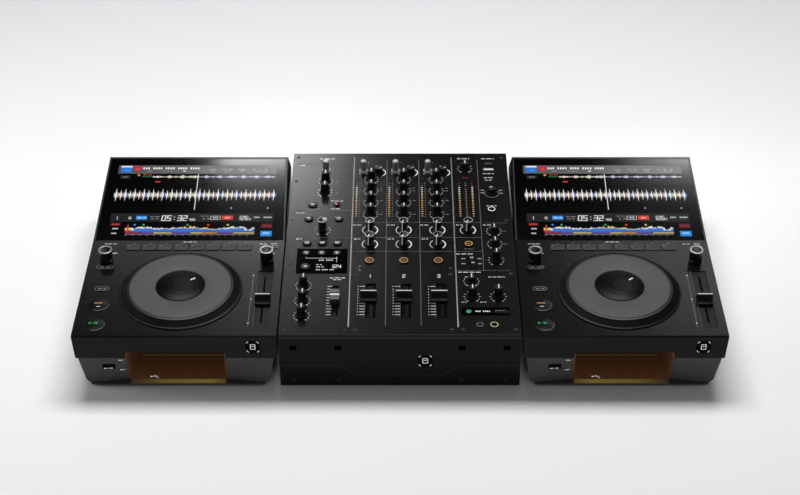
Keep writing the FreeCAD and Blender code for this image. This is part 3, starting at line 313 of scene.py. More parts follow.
class Shape:
    """Gathers faces in millimetres and becomes one object, riding on one body.

    With a side it stands on that deck, and the names of its pieces and nodes begin with it.
    """

    def __init__(self, side="", plane=level(PANEL_Z)):
        self.dx = {"left": -DECK_X, "right": DECK_X}.get(side, 0)
        self.prefix, self.plane = side and side + "_", plane
        self.points, self.faces, self.used, self.looks = [], [], [], []

    def index(self, look):
        if look not in self.looks:
            self.looks.append(look)
        return self.looks.index(look)

    def rings(self, rings, look, closed=False):
        """Joins rings of equal length, given as lists of (x, y, z)."""
        k, start, count, total = self.index(look), len(self.points), len(rings[0]), len(rings)
        for ring in rings:
            self.points += ring
        for j in range(total if closed else total - 1):
            a, b = start + j * count, start + (j + 1) % total * count
            for i in range(count):
                n = (i + 1) % count
                self.faces.append((a + i, a + n, b + n, b + i))
                self.used.append(k)
        if not closed:
            last = start + (total - 1) * count
            self.faces.append(tuple(range(start + count - 1, start - 1, -1)))
            self.faces.append(tuple(range(last, last + count)))
            self.used += [k, k]

    def stack(self, outline, steps, look, closed=False):
        """Rings of one outline, grown by and lifted to each (grow, w) of the steps."""
        rings = [[self.plane(u, v, w) for u, v in outline(grow)] for grow, w in steps]
        self.rings(rings, look, closed)

    def prism(self, outline, w0, w1, look, bevel=0):
        steps = [(0, w0)] if bevel else [(0, w0), (0, w1)]
        for i in range(4 if bevel else 0):
            t = pi / 2 * i / 3
            steps.append((bevel * (cos(t) - 1), w1 - bevel * (1 - sin(t))))
        self.stack(outline, steps, look)

    def hoop(self, outline, width, w0, w1, look):
        """A closed band along an outline, its outer edge on it."""
        self.stack(outline, [(0, w0), (0, w1), (-width, w1), (-width, w0)], look, True)

    def bar(self, x, y, length, width, look=ink_white_glow, w0=SUNK, w1=INK):
        self.prism(tablet(x, y, length, width, 0.01, 1), w0, w1, look)

    def slant(self, x, y, length, width, turn, look, w0=SUNK, w1=INK):
        c, s = cos(turn), sin(turn)
        corners = ((-1, -1), (1, -1), (1, 1), (-1, 1))
        flat = [(a * length / 2, b * width / 2) for a, b in corners]
        ring = [(x + u * c - v * s, y + u * s + v * c) for u, v in flat]
        self.stack(lambda grow: ring, [(0, w0), (0, w1)], look)

    def arc(self, x, y, r, width, start, end, look, w0=SUNK, w1=INK, steps=14):
        """A band between two angles, in degrees from the back, clockwise."""
        rings = []
        for i in range(steps + 1):
            t = radians(90 - (start + (end - start) * i / steps))
            c, s = cos(t), sin(t)
            ends = [(r, w0), (r, w1), (r - width, w1), (r - width, w0)]
            rings.append([self.plane(x + a * c, y + a * s, w) for a, w in ends])
        self.rings(rings, look)

    def words(self, x, y, length, height, look=ink_white_glow, w0=SUNK, w1=INK):
        """A bare row of small blocks where the real one has lettering."""
        count = max(1, round(length / (height * 0.95)))
        for i in range(count):
            if count > 5 and i % 5 == 3:
                continue
            u = x + (i - (count - 1) / 2) * length / count
            self.bar(u, y, length / count * 0.62, height, look, w0, w1)

    def digits(self, text, x, y, height, look, w0=SUNK, w1=INK, lean=0):
        """Plain numbers made of straight strokes."""
        strokes = "abcdef bc abged abgcd fgbc afgcd afgedc abc abcdefg abcdfg".split()
        places = {
            "a": (0, 1, 1), "g": (0, 0, 1), "d": (0, -1, 1), "f": (-1, 0.5, 0), "b": (1, 0.5, 0),
            "e": (-1, -0.5, 0), "c": (1, -0.5, 0),
        }
        width, thick, half = height * 0.5, height * 0.14, height / 2
        for i, letter in enumerate(text):
            u = x + i * height * 0.78
            for dv in {":": (-0.5, 0.5), ".": (-1,)}.get(letter, ()):
                self.bar(u, y + dv * half, thick, thick, look, w0, w1)
            for stroke in strokes[int(letter)] if letter.isdigit() else "":
                du, dv, flat = places[stroke]
                size = (width + thick, thick) if flat else (thick, half + thick)
                shift = du * width / 2 + dv * half * lean
                self.bar(u + shift, y + dv * half, *size, look, w0, w1)

    def turned(self, x, y, profile, look, sides=48, closed=False, flutes=None):
        """A turned form of (radius, z) pairs; flutes are (count, depth, lowest z, highest z)."""
        rings = []
        for r, z in profile:
            ring = []
            for i in range(sides):
                t = 2 * pi * i / sides
                cut = 0
                if flutes and flutes[2] <= z <= flutes[3]:
                    cut = flutes[1] * (0.5 - 0.5 * cos(flutes[0] * t))
                ring.append((x + (r - cut) * cos(t), y + (r - cut) * sin(t), z))
            rings.append(ring)
        self.rings(rings, look, closed)

    def place(self, name, slot="panel", node=None, crisp=32, body=None):
        """Becomes one object, in a node's stead and on its body where a node is given."""
        mesh = bpy.data.meshes.new(self.prefix + name)
        points = [((x + self.dx) * MM, (y - MIDDLE_Y) * MM, z * MM) for x, y, z in self.points]
        mesh.from_pydata(points, [], self.faces)
        for m in self.looks:
            mesh.materials.append(m)
        mesh.polygons.foreach_set("material_index", self.used)
        mesh.polygons.foreach_set("use_smooth", [True] * len(mesh.polygons))
        mesh.set_sharp_from_angle(angle=radians(crisp))
        mesh.update()
        piece = bpy.data.objects.new(self.prefix + name, mesh)
        bpy.context.scene.collection.objects.link(piece)
        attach(piece, body or (self.prefix + node if node else "root"))
        if node:
            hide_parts(self.prefix + node)


def dress(looks):
    """Swaps the material of nodes that are shown as the CAD has them."""
    for node, look in looks.items():
        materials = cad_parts[node].data.materials
        materials.clear()
        materials.append(look)


# ---- camera, light and backdrop ----
def studio():
    scene = bpy.context.scene
    scene.view_settings.view_transform = "Standard"
    data = bpy.data.cameras.new("camera")
    data.lens = 75.96
    data.sensor_width = 36
    data.clip_end = 40
    camera = bpy.data.objects.new("camera", data)
    camera.location = (0, -2.2594, 1.8046)
    camera.rotation_euler = (radians(90 - 37.243), 0, 0)
    scene.collection.objects.link(camera)
    scene.camera = camera

    world = bpy.data.worlds.new("studio")
    scene.world = world
    world.use_nodes = True
    tree = world.node_tree
    height = ranged(tree, along(tree, "Generated", "Z"), 0, 1, 0.22, 0.42)
    sky = blended(tree, height, (0.58, 0.58, 0.59), (0.02, 0.02, 0.02))
    tree.links.new(sky, tree.nodes["Background"].inputs["Color"])

    # a narrow soft box behind each unit is mirrored in its panel, and one for each screen
    boxes = (
        ("mixer_box", (-0.36, 1.75, 1.08), (-0.2, 0.37, 0.1), (0.26, 0.3), 0.074, 14),
        ("left_deck_box", (-0.66, 1.75, 1.38), (-0.47, 0, 0.1), (0.6, 0.16), 0.024, 20),
        ("right_deck_box", (0.78, 1.75, 1.38), (0.36, 0, 0.1), (0.6, 0.16), 0.03, 24),
        ("left_screen_box", (-0.34, 1.55, 1.72), (-0.18, 0.25, 0.12), (0.4, 0.15), 0.11, 20),
        ("right_screen_box", (0.9, 1.55, 1.72), (0.52, 0.25, 0.12), (0.4, 0.15), 0.11, 20),
        ("top_box", (0, 1.02, 2.88), (0, -0.1, 0.1), (2.4, 0.9), 86, 180),
        ("front_box", (0, -2.2, 3), (0, -0.2, 0.1), (1.6, 0.5), 7, 180),
        ("left_strip", (-2, -0.1, 0.8), (0, 0, 0.1), (0.3, 1.4), 6, 180),
    )
    for name, place, target, size, power, spread in boxes:
        light = bpy.data.lights.new(name, "AREA")
        light.shape = "RECTANGLE"
        light.size, light.size_y = size
        light.energy = power
        light.spread = radians(spread)
        box = bpy.data.objects.new(name, light)
        box.location = place
        aim = [t - p for t, p in zip(target, place)]
        tilt = atan2(hypot(aim[0], aim[1]), -aim[2])
        box.rotation_euler = (tilt, 0, atan2(aim[0], -aim[1]) + pi)
        scene.collection.objects.link(box)

    mesh = bpy.data.meshes.new("floor")
    corners = [(x * 12, y * 12, 0) for x, y in ((-1, -1), (1, -1), (1, 1), (-1, 1))]
    mesh.from_pydata(corners, [], [(0, 1, 2, 3)])
    floor = bpy.data.objects.new("floor", mesh)
    scene.collection.objects.link(floor)
    m, tree, bsdf = shader("floor_white", {"Roughness": 0.9, "Specular IOR Level": 0})
    # the floor greys towards the back: a painted falloff of the light
    far = ranged(tree, along(tree, "Object", "Y"), 0, 1, 0.35, 1.05)
    colour = blended(tree, far, (1, 1, 1), (0.76, 0.77, 0.79))
    tree.links.new(colour, bsdf.inputs["Base Color"])
    mesh.materials.append(m)


# ---- small parts used on decks and mixer ----
def tone_knob(s, x, y, height=20, foot=PANEL_Z, pointer=True):
    """A tapered grip with fine ribs, a flared skirt and a white pointer."""
    top, neck = PANEL_Z + height, PANEL_Z + 4.5
    profile = [(9, foot), (9, foot + 0.8)]
    for i in range(5):
        t = i / 4
        profile.append((6.9 + (9 - 6.9) * (1 - t) ** 2, foot + 0.8 + (neck - foot - 0.8) * t))
    for i in range(4):
        t = pi / 2 * i / 3
        profile.append((6.3 - 0.7 * (1 - cos(t)), top - 0.7 * (1 - sin(t))))
    s.turned(x, y, profile, knob_black, 60, flutes=(20, 0.35, PANEL_Z + 4.4, top - 0.8))
    if pointer:
        s.bar(x + 0.3, y + 2.2, 1.7, 8.6, lit_white, height - 0.05, height + 0.08)


def rim_knob(s, x, y, r, rim_r, rim_width, height, facets, metal):
    """A facetted grip with a wide polished rim round a sunk disc."""
    foot, top = PANEL_Z + 0.6, PANEL_Z + height
    neck, hole = top - 2.5, rim_r - rim_width
    body = [
        (r - 0.4, foot), (r, foot + 0.5), (r, foot + 2.6), (r - 0.9, foot + 3),
        (r - 0.4, foot + 3.8), (r - 0.1, neck), (r - 1.6, neck + 0.3),
    ]
    rim = [
        (hole, neck + 0.1), (rim_r - 0.9, neck + 0.1), (rim_r - 0.2, neck + 0.5),
        (rim_r, neck + 1.1), (rim_r - 0.1, top - 0.7), (rim_r - 0.5, top - 0.2),
        (rim_r - 1.1, top), (hole + 0.7, top), (hole + 0.2, top - 0.2), (hole, top - 0.7),
    ]
    disc = [
        (hole + 0.05, neck + 0.3), (hole + 0.05, top - 0.8), (hole * 0.7, top - 1.15),
        (hole * 0.35, top - 1.4),
    ]
    s.turned(x, y, body, facet_black, facets)
    s.turned(x, y, rim, metal, 72, closed=True)
    s.turned(x, y, disc, gloss_knob)


def across(s, x, y, width, side, look, base=PANEL_Z):
    """A side view of (y, z) offsets, run across a fader cap."""
    ends = (-width / 2, width / 2)
    s.rings([[(x + dx, y + a, base + b) for a, b in side] for dx in ends], look)


def extruded_cap(s, x, y, side, width, look, foot):
    """A cap with its two ends eased, on a stem."""
    half = max(abs(a) for a, _ in side)
    height = max(b for _, b in side)
    rings = []
    end = width / 2
    for grow, dx in ((-0.5, -end), (0, -end + 0.5), (0, end - 0.5), (-0.5, end)):
        wide, tall = 1 + grow / half, 1 + grow / height
        rings.append([(x + dx, y + a * wide, PANEL_Z + 0.6 + (b - 0.6) * tall) for a, b in side])
    s.rings(rings, look)
    s.prism(tablet(x, y, 2.4, 6, 0.3), foot - PANEL_Z, 1, slot_black)


def ridged_cap(s, x, y, width, foot):
    """A cap with a ledge at either end and two hollow slopes up to a lined ridge."""
    head, ledge = 14.5, 4
    side = [(-13, 0.6), (-13, ledge - 0.9), (-12.6, ledge - 0.2), (-11.9, ledge), (-7.5, ledge)]
    for i in range(1, 8):
        t = i / 7
        side.append((-7.5 + 6.2 * t, ledge + (head - ledge - 0.25) * t**1.15))
    side.append((-0.9, head))
    side += [(-a, b) for a, b in reversed(side)]
    extruded_cap(s, x, y, side, width, cap_black, foot)
    line = [(-1.7, head - 1), (-1, head + 0.04), (1, head + 0.04), (1.7, head - 1)]
    across(s, x, y, width - 0.6, line, cap_line_and_painted_highlight)
    # the grey ledge top is a painted highlight
    for dy, grey in ((9.9, ledge_painted_highlight), (-9.9, ledge_painted_highlight if width < 22 else cap_black)):
        s.prism(tablet(x, y + dy, width - 1, 3.6, 0.4), ledge - 0.1, ledge + 0.06, grey)


def dished_cap(s, x, y, foot):
    """A tall block with a dip across its top and a line on the dip's far slope."""
    head, half, width = 11, 14.25, 16
    side = [(-half, 0.6), (-half, head - 1.2), (0.5 - half, head - 0.4), (1.1 - half, head)]
    side += [(-5.9, head), (-5.3, head - 0.3), (-0.5, head - 2.9)]
    side += [(-a, b) for a, b in reversed(side)]
    extruded_cap(s, x, y, side, width, cap_grey, foot)
    line = [(0.8, -2.72), (3.2, -1.4), (3.2, -1.25), (0.8, -2.57)]
    across(s, x, y, width - 0.8, line, ink_white_glow, PANEL_Z + head)
    for dy in (9.9, -9.7):
        s.prism(tablet(x, y + dy, width - 1.4, 5.8, 0.5), head - 0.1, head + 0.08, line_grey)


def tick_ring(s, x, y, r, angles):
    for angle in angles:
        t = radians(90 - angle)
        u, v = x + r * cos(t), y + r * sin(t)
        if abs(angle) >= 150:
            s.bar(u + (-1.2 if angle < 0 else 1.2), v, 3.4, 0.9, ink_white_glow)
        else:
            s.slant(u, v, 1.87, 0.88, t, ink_white_glow)


# ---- decks ----
def screen_picture(side):
    """A made-up track display: bars, numbers and level curves in plain colours."""
    s = Shape(side, on_screen)
    low, high = 0.03, 0.07
    rnd = random.Random(21)
    white = lit_white
    blue, sky, orange, red, pink, green, violet, sand, bar, dim, maroon, grey = screen_tints

    def patch(u0, u1, v0, v1, look, lift=0):
        s.bar((u0 + u1) / 2, (v0 + v1) / 2, u1 - u0, v1 - v0, look, low + lift - 0.05, low + lift)

    def words(u, v, length, height, look=grey, lift=0):
        s.words(u, v, length, height, look, high + lift - 0.05, high + lift)

    def block(u, v, length, width, look=grey, lift=0):
        s.bar(u, v, length, width, look, high + lift - 0.05, high + lift)

    def digits(text, u, v, height, look=white, lean=0):
        s.digits(text, u, v, height, look, high - 0.05, high, lean)

    def spike(u, v, half, width, look, lift):
        """A beat: a sharp rise and a longer fall, the same above and below its line."""
        rise = ((-0.3, 0.05), (0, 1), (0.22, 0.5), (0.5, 0.24), (1, 0.06))
        ring = [(u + a * width, v + b * half) for a, b in rise]
        ring += [(u + a * width, v - b * half) for a, b in reversed(rise)]
        s.stack(lambda grow: ring, [(0, low), (0, high + lift)], look)

    # title bar, its dark grey brightening to the right with a painted reflection
    patch(-138, 138, 163, 184, title_bars_painted_sheen[side])
    patch(-133.5, -114, 166, 182, blue, 0.05)
    patch(-133.5, -114, 179, 182.5, white, 0.07)
    patch(-127, -119, 169, 174, sky, 0.08)
    patch(-111, -97.5, 169.5, 182.5, pink, 0.05)
    patch(-107, -101, 172, 177, red, 0.08)
    words(-44, 176.5, 104, 4.6, white)
    words(-84, 169.5, 9, 2)
    words(-52, 169.5, 18, 1.8)
    patch(-25, -20, 168.5, 170.5, white, 0.05)
    for u, length in ((26, 13), (52, 18), (77, 13)):
        words(u, 173.5, length, 2.6)
        words(u + 1, 169, length * 0.6, 1.8)
    for u in (98, 109, 120):
        block(u, 173, 3.6, 3.2)
    words(112, 168, 22, 1.6)

    # the whole track, small
    patch(-133, -115, 150, 159, bar, 0.03)
    words(-124, 154.5, 10, 2.2)
    s.prism(circle(-101, 159.5, 2.3, 16), low, high, orange)
    words(-86, 160, 15, 2.2, red)
    words(-86, 155.5, 17, 1.8, green)
    count = 230
    for i in range(count):
        u = -76 + 213 * i / count
        beat = exp(-((i % 23 - 9) / 3.2) ** 2) + 0.6 * exp(-(((i + 5) % 14 - 6) / 1.6) ** 2)
        if -30 < u < 2:
            beat += 0.5 * rnd.random()
        h = 1.3 + 5 * beat * (0.75 + 0.25 * rnd.random())
        block(u, 155, 0.8, h, white if i % 3 else sand if u < 2 else violet)
    patch(-71, -62, 141.5, 144, red, 0.03)

    # the part being played, large, across the middle
    for k in range(35):
        u = -135 + 7.95 * k
        tall = (1, 0.78, 0.93, 0.7, 0.97, 0.74)[k % 6] * (0.9 + 0.1 * rnd.random())
        tint = (sand, orange, blue, sand)[k % 4]
        spike(u, 110, 17.5 * tall, 5.2, grey, 0)
        spike(u, 110, 16.5 * tall, 3.6, white, 0.02)
        spike(u - 2.6, 110, 8 * tall, 2.2, white, 0.03)
        spike(u + 3.6, 110, 9 * (1.15 - tall * 0.4), 2.2, tint, 0.04)
        spike(u + 2.4, 110, 3.2, 2, blue if k % 3 == 1 else violet, 0.05)
    s.bar(2.4, 118, 1.2, 88, white, high + 0.04, high + 0.08)
    for u in (65, 127):
        block(u, 78, 2.2, 2.2, white)

    # the bar of figures
    patch(-138, 138, 45, 65, bar, 0.02)
    for u in (-119, -73, -52, 8, 47, 72):
        patch(u - 0.3, u + 0.3, 47, 63, dim, 0.04)
    digits("1", -128, 54, 6.5)
    digits("16", -108, 54, 5)
    patch(-94.5, -76, 50, 59, sky, 0.05)
    words(-85.2, 54.5, 14, 2.6, white, 0.03)
    words(-63, 57, 16, 2.2)
    words(-63, 52, 13, 2.2)
    digits("05:32", -47.5, 53.5, 11.5, lean=0.12)
    digits("480", -3, 50, 4.6)
    digits("+0.45", 17, 52, 4.2, grey)
    words(22, 58.5, 14, 1.8)
    s.hoop(tablet(40, 54.5, 17, 8.6, 1.5), 0.8, high - 0.05, high, white)
    words(40, 54.5, 9, 2.4, white)
    patch(51, 69.5, 50, 59.5, red, 0.05)
    words(60, 54.5, 8, 2.6, white, 0.03)
    digits("126", 79.5, 54, 8.6)
    digits("0", 98.5, 51.5, 4.2)
    for u, length in ((110, 10), (128, 14)):
        words(u, 55.5, length, 2.8, white)

    # the track's shape with its coloured sections
    count = 218
    jag = [rnd.random() for _ in range(count)]
    for i in range(count):
        u, part = i - 110, i / count
        rise = 0.5 + 0.5 * sin(part * 15 + 0.6)
        body = 5 + 2.6 * rise + 2.2 * jag[i // 4]
        if part < 0.07 or 0.92 < part < 0.98:
            body *= 0.45
        block(u, 21 + body / 2, 1.05, body, pink if part < 0.05 else blue)
        top = 0.8 + 4.6 * jag[i // 3 + 70] ** 1.5 * (0.6 + 0.6 * rise)
        crest = sand if 0.42 < part < 0.72 or part < 0.05 or not i % 3 else white
        block(u, 21 + body + top / 2, 1.05, top, crest)
    ends = (-110, -84, -62, -30, 0, 22, 46, 72, 108)
    tints = (pink, violet, sand, violet, sand, orange, violet, sand)
    for u0, u1, tint in zip(ends, ends[1:], tints):
        s.bar((u0 + u1) / 2, 18.4, u1 - u0 - 0.8, 2.4, tint, high, high + 0.03)
    block(-1, 15, 216, 1)
    for u in range(-108, 108, 12):
        block(u, 12.6, 2.2, 1.2)
    for u, tint in ((-95, sky), (-80, green), (-6, green), (29, red), (62, sand)):
        block(u, 37.5, 3.6, 3.6, tint)
    s.bar(-106, 29, 1.6, 17, red, high, high + 0.04)
    patch(-136, -119, 35.5, 42.5, maroon, 0.01)
    words(-127.5, 39, 13, 3, red, 0.02)
    words(-127, 28.5, 10, 2.8, white)
    words(-128, 17.5, 9, 2.8, white)
    patch(118, 137, 30, 40.5, maroon, 0.01)
    words(127.5, 35.5, 14, 2.6, pink, 0.02)
    patch(118, 137, 11, 23, sky, 0.05)
    words(127.5, 18, 11, 2.6, white, 0.03)
    s.place("screen_picture", "display_glass")


def jog_wheel(side):
    s = Shape(side)
    sides, rows = 320, 11
    under = [(39.3, 98.6), (42.3, 98.6), (42.3, 114), (70, 114), (80, 110), (96, 105.4)]
    rim = [(97.4, 105.4), (98.2, 106), (98.2, 107.2), (97.4, 107.9), (96.6, 108.2)]
    plate = [
        (85.2, 115.4), (84.4, 115.6), (82, 115.7), (81.5, 115.9), (81.2, 116.5), (80.8, 116.8),
        (80, 117), (60, 117), (41.2, 117), (40.3, 116.7), (39.6, 116.2), (39.3, 115),
    ]
    loops = [(r, z, 0, jog_grey) for r, z in under] + [(r, z, 0, jog_edge) for r, z in rim]
    for j in range(rows + 1):
        t = j / rows
        loops.append((96.2 - 11 * t, 108.3 + 7 * t, 0.55 if 0 < j < rows else 0, knurl_black))
    loops += [(r, z, 0, jog_edge if r > 81.8 else jog_grey) for r, z in plate]
    rings = []
    for j, (r, z, cut, _) in enumerate(loops):
        ring = []
        for i in range(sides):
            a, d = 2 * pi * i / sides, cut * ((i + j) % 2)
            ring.append(((r - d * 0.5) * cos(a), JOG_Y + (r - d * 0.5) * sin(a), z - d))
        rings.append(ring)
    s.rings(rings, jog_grey, True)
    for j, loop in enumerate(loops):
        s.used[j * sides:(j + 1) * sides] = [s.index(loop[3])] * sides
    s.place("jog_wheel_dressed", "jog_grey", "jog_wheel", 28)


def on_dome(u, v, w):
    """The display in the jog wheel's centre: 38.5 in radius and 4.5 high."""
    big = (38.5**2 + 4.5**2) / 9
    return u, v, 117 + 4.5 - big + sqrt(big * big - hypot(u, v - JOG_Y) ** 2) + w


def deck(side):
    dress({
        f"{side}_deck_top_cover": cover_black,
        f"{side}_deck_base": casing_black,
        f"{side}_deck_display": glass_black,
    })
    screen_picture(side)
    jog_wheel(side)
    foot = 91.5 - PANEL_Z

    # hot cue keys
    keys, marks = Shape(side), Shape(side)
    for i in range(8):
        x = 2 + 26.4 * (i - 3.5)
        keys.prism(tablet(x, 228, 22.9, 15, 1.6), foot, 1.5, key_grey, 0.7)
        keys.hoop(tablet(x, 228, 22.3, 14.4, 1.3), 0.45, 1.4, 1.56, line_grey)
        keys.hoop(circle(x - 7.6, 231.5, 1.3, 16), 0.6, 1.45, 1.56, ink_grey_glow)
        marks.words(x, 239.6, 3, 1.2, ink_grey_glow)
    keys.place("hot_cue_keys", "button_plastic", "hot_cue_buttons")
    marks.words(2, 243.6, 22, 1.9)

    # long keys, small key
    keys = Shape(side)
    for x, y, length in ((-130.2, 173.9, 27.6), (-127.2, 117.3, 23.4)):
        keys.prism(tablet(x, y, length, 11.2, 5.59, 10), foot, 1.2, round_key, 0.6)
        keys.hoop(tablet(x, y, length - 0.6, 9.6, 4.79, 10), 0.55, 1, 1.5, silver_and_painted_highlight)
        keys.words(x, y, length - 9.5, 2.6, ink_grey_glow, 1.15, 1.28)
    keys.prism(circle(144.4, 229.5, 4.6, 32), foot, 1.3, round_key, 0.5)
    keys.hoop(circle(144.4, 229.5, 4.5, 32), 0.7, 1.1, 1.5, silver_and_painted_highlight)
    keys.place("mode_keys", "button_plastic", "mode_buttons")

    # play and cue
    for name, y in (("cue_button", 77), ("play_button", 28)):
        b = Shape(side)
        b.prism(circle(-126.5, y, 16, 72), foot, 1.5, deck_key, 1)
        # a silver arc round the lower right of the rim: a painted highlight
        b.arc(-126.5, y, 15.7, 0.7, 80, 205, silver_and_painted_highlight, 1.2, 1.42, 30)
        if name == "cue_button":
            b.words(-128, y + 3.6, 13.5, 2.7, cue_gold, 1.45, 1.6)
            b.words(-127, y - 5, 6.5, 1.6, ink_white_glow, 1.45, 1.6)
        else:
            arrow = [(-136, y + 0.4), (-131.2, y + 3), (-136, y + 5.6)]
            b.stack(lambda grow: arrow, [(0, 1.45), (0, 1.6)], play_green)
            b.slant(-128.6, y + 3, 5, 0.8, radians(65), play_green, 1.45, 1.6)
            for u in (-125.6, -122.9):
                b.bar(u, y + 3, 1.5, 5, play_green, 1.45, 1.6)
        b.place(name + "_disc", "button_plastic", name)
        marks.hoop(circle(-126.5, y, 17.6, 72), 0.8, SUNK, 0.12, cap_black)

    for name, x in (("browse_knob", 133.5), ("loop_knob", -130.5)):
        k = Shape(side)
        rim_knob(k, x, 194, 10.8, 11.6, 3.7, 22.5, 20, ring_silver)
        k.place(name + "_grip", "rimmed_knob", name, 14)

    # tempo fader
    f = Shape(side)
    ridged_cap(f, 133.4, 88, 24.2, 91.6)
    f.place("tempo_cap", "fader_cap", "tempo_fader")
    trough = Shape(side, level(TROUGH_Z))
    trough.hoop(tablet(133.4, 93, 24.9, 143.9, 0.3, 1), 10.8, 0, 0.12, trough_black)
    trough.bar(133.4, 93, 1.5, 117, slot_black, -1, 0.14)
    trough.bar(121.4, 93, 0.6, 143, line_grey, 1.5, 1.78)
    trough.place("tempo_trough")
    marks.slant(114, 92.7, 121.9, 0.55, radians(89.7), ink_grey_glow)
    for x, y in ((114.3, 153.7), (114.1, 91.9), (113.6, 31.8)):
        marks.prism(circle(x, y, 1.2, 12), SUNK, INK, ink_white_glow)
    marks.words(113.4, 25, 3, 1.2, ink_grey_glow)

    # places of the words by the knobs
    for row in (
        (-129.4, 238.3, 20, 1.6), (-119, 212.8, 8, 2.2), (124.5, 238, 12, 1.7),
        (142.7, 238.8, 10, 1.5),
    ):
        marks.words(*row)
    marks.prism(circle(142.7, 212.8, 1.3, 12), SUNK, INK, ink_white_glow)
    marks.place("deck_marks")

    # a painted highlight along the hood's edge round the glass
    h = Shape(side, on_screen)
    for sign in (-1, 1):
        h.slant(sign * 155.9, 102.5, 201.5, 0.5, radians(90 + sign * 1.11), painted_edge_highlight, SUNK, 0.1)
    h.bar(0, 203, 307, 0.6, painted_edge_highlight, SUNK, 0.1)
    h.place("hood_edge_highlights")

    # centre display's mark
    dome = Shape(side, on_dome)
    for u, v in ((17.4, 125.2), (21, 128.4)):
        dome.slant(u, v, 4.6, 2.4, radians(58), lit_white, -0.05, 0.12)
    dome.place("dome_mark", "display_glass")
    deck_front(side)
    bay(side)


def deck_front(side):
    e = Shape(side, on_pod)
    e.prism(tablet(-107.5, 39.7, 19, 10.5, 1.6, 6), -7, 1.5, slot_black, 0.7)
    e.words(-108.6, 37.2, 14.5, 2.2, ink_white_glow, 1.45, 1.58)
    e.place("eject_key", "button_plastic", "eject_button")
    s = Shape(side, on_pod)
    for v in (54.6, 30.8):
        s.words(-87.8, v, 7, 1.9, ink_white_glow, -0.3, 0.3)
        s.slant(-81.6, v + 1.2, 4, 0.9, radians(60), ink_grey_glow, -0.3, 0.3)
    # light lines down the pods' inner edges: painted highlights
    for u in (-77.4, 77.4):
        s.bar(u, 33, 1.1, 52, pod_edge_painted_highlight, -0.4, 0.25)
    s.place("pod_marks", "casing")
    s = Shape(side, facing_front(0))
    pictogram(s, 122.2, 84.3, 20)
    s.place("front_badge")


def pictogram(s, x, z, width, height=22):
    """A dark plate with four corner strokes round a small plain sign."""
    s.prism(tablet(x, z, width + 3, height + 3, 3), SUNK, 0.02, readout_black)
    for i, (sx, sz) in enumerate(((1, 1), (1, -1), (-1, -1), (-1, 1))):
        u, v = x + sx * (width / 2 - 4), z + sz * (height / 2 - 4)
        s.arc(u, v, 4, 1.1, 90 * i + 5, 90 * i + 85, ink_white_glow, SUNK, 0.03, 8)
    s.hoop(tablet(x, z, width * 0.42, height * 0.5, 1.6), 1.2, SUNK, 0.03, ink_white_glow)
    s.bar(x, z + 1.2, width * 0.16, 1.4, ink_white_glow, SUNK, 0.03)


def bay(side):
    s = Shape(side, level(BAY_Z))
    corners = [(-75.6, 2), (75.6, 2), (74.6, 11), (-74.6, 11)]
    s.stack(lambda grow: corners, [(0, SUNK), (0, 0.1)], amber_bands[side])
    # a bright line at the back edge of the bay's floor: painted reflected light
    s.bar(0, 69.8, 132, 1, bay_back_edge_painted_reflection, SUNK, 0.6)
    s.place("bay_edges", "amber_light")
    g = Shape(side, level(BAY_Z))
    g.slant(-39.6, 17.9, 12, 0.8, 0.06, ink_white_glow, SUNK, 0.1)
    g.prism(circle(-45, 17.5, 1.6, 16), SUNK, 0.1, ink_white_glow)
    g.slant(-39.6, 19.4, 5, 0.8, 0.6, ink_white_glow, SUNK, 0.1)
    g.slant(-37, 16.2, 5, 0.8, -0.6, ink_white_glow, SUNK, 0.1)
    g.bar(-33.8, 14.8, 1.8, 1.8, ink_white_glow, SUNK, 0.1)
    g.place("bay_floor_mark", "amber_light")


# ---- mixer ----
CHANNELS = (-50.3, 6.2, 63)  # the channels' middles
MIC_X = -130.5  # the microphone's column of knobs
EFFECT_XS = (-155, -129.4, -104.2)  # the effect display's columns
TRIM_Y = 452  # the row of trim knobs
JACK_Y = 27.3
SELECTOR = (159, 384)


def rails():
    s = Shape()
    for x in (-81.1, 91.2):
        s.prism(tablet(x, 257, 2.2, 471, 0.6), -0.2, 1.2, rail_silver, 0.4)
    s.place("chrome_rails")
    s = Shape()
    for x, y0, y1 in ((-23, 26, 486), (33.3, 26, 486), (137, 168, 486)):
        s.bar(x, (y0 + y1) / 2, 1, y1 - y0, line_grey, SUNK, 0.25)
    lines = [(28, y, 218, 0.8) for y in (298.5, 256, 217.5)]
    lines += [(-131.5, y, 98, 0.7) for y in (473.8, 333, 256)]
    for row in lines + [(162.5, 297, 36, 0.7), (136.5, 166.3, 87, 0.7)]:
        s.bar(*row, line_grey, SUNK, 0.2)
    s.place("panel_lines")


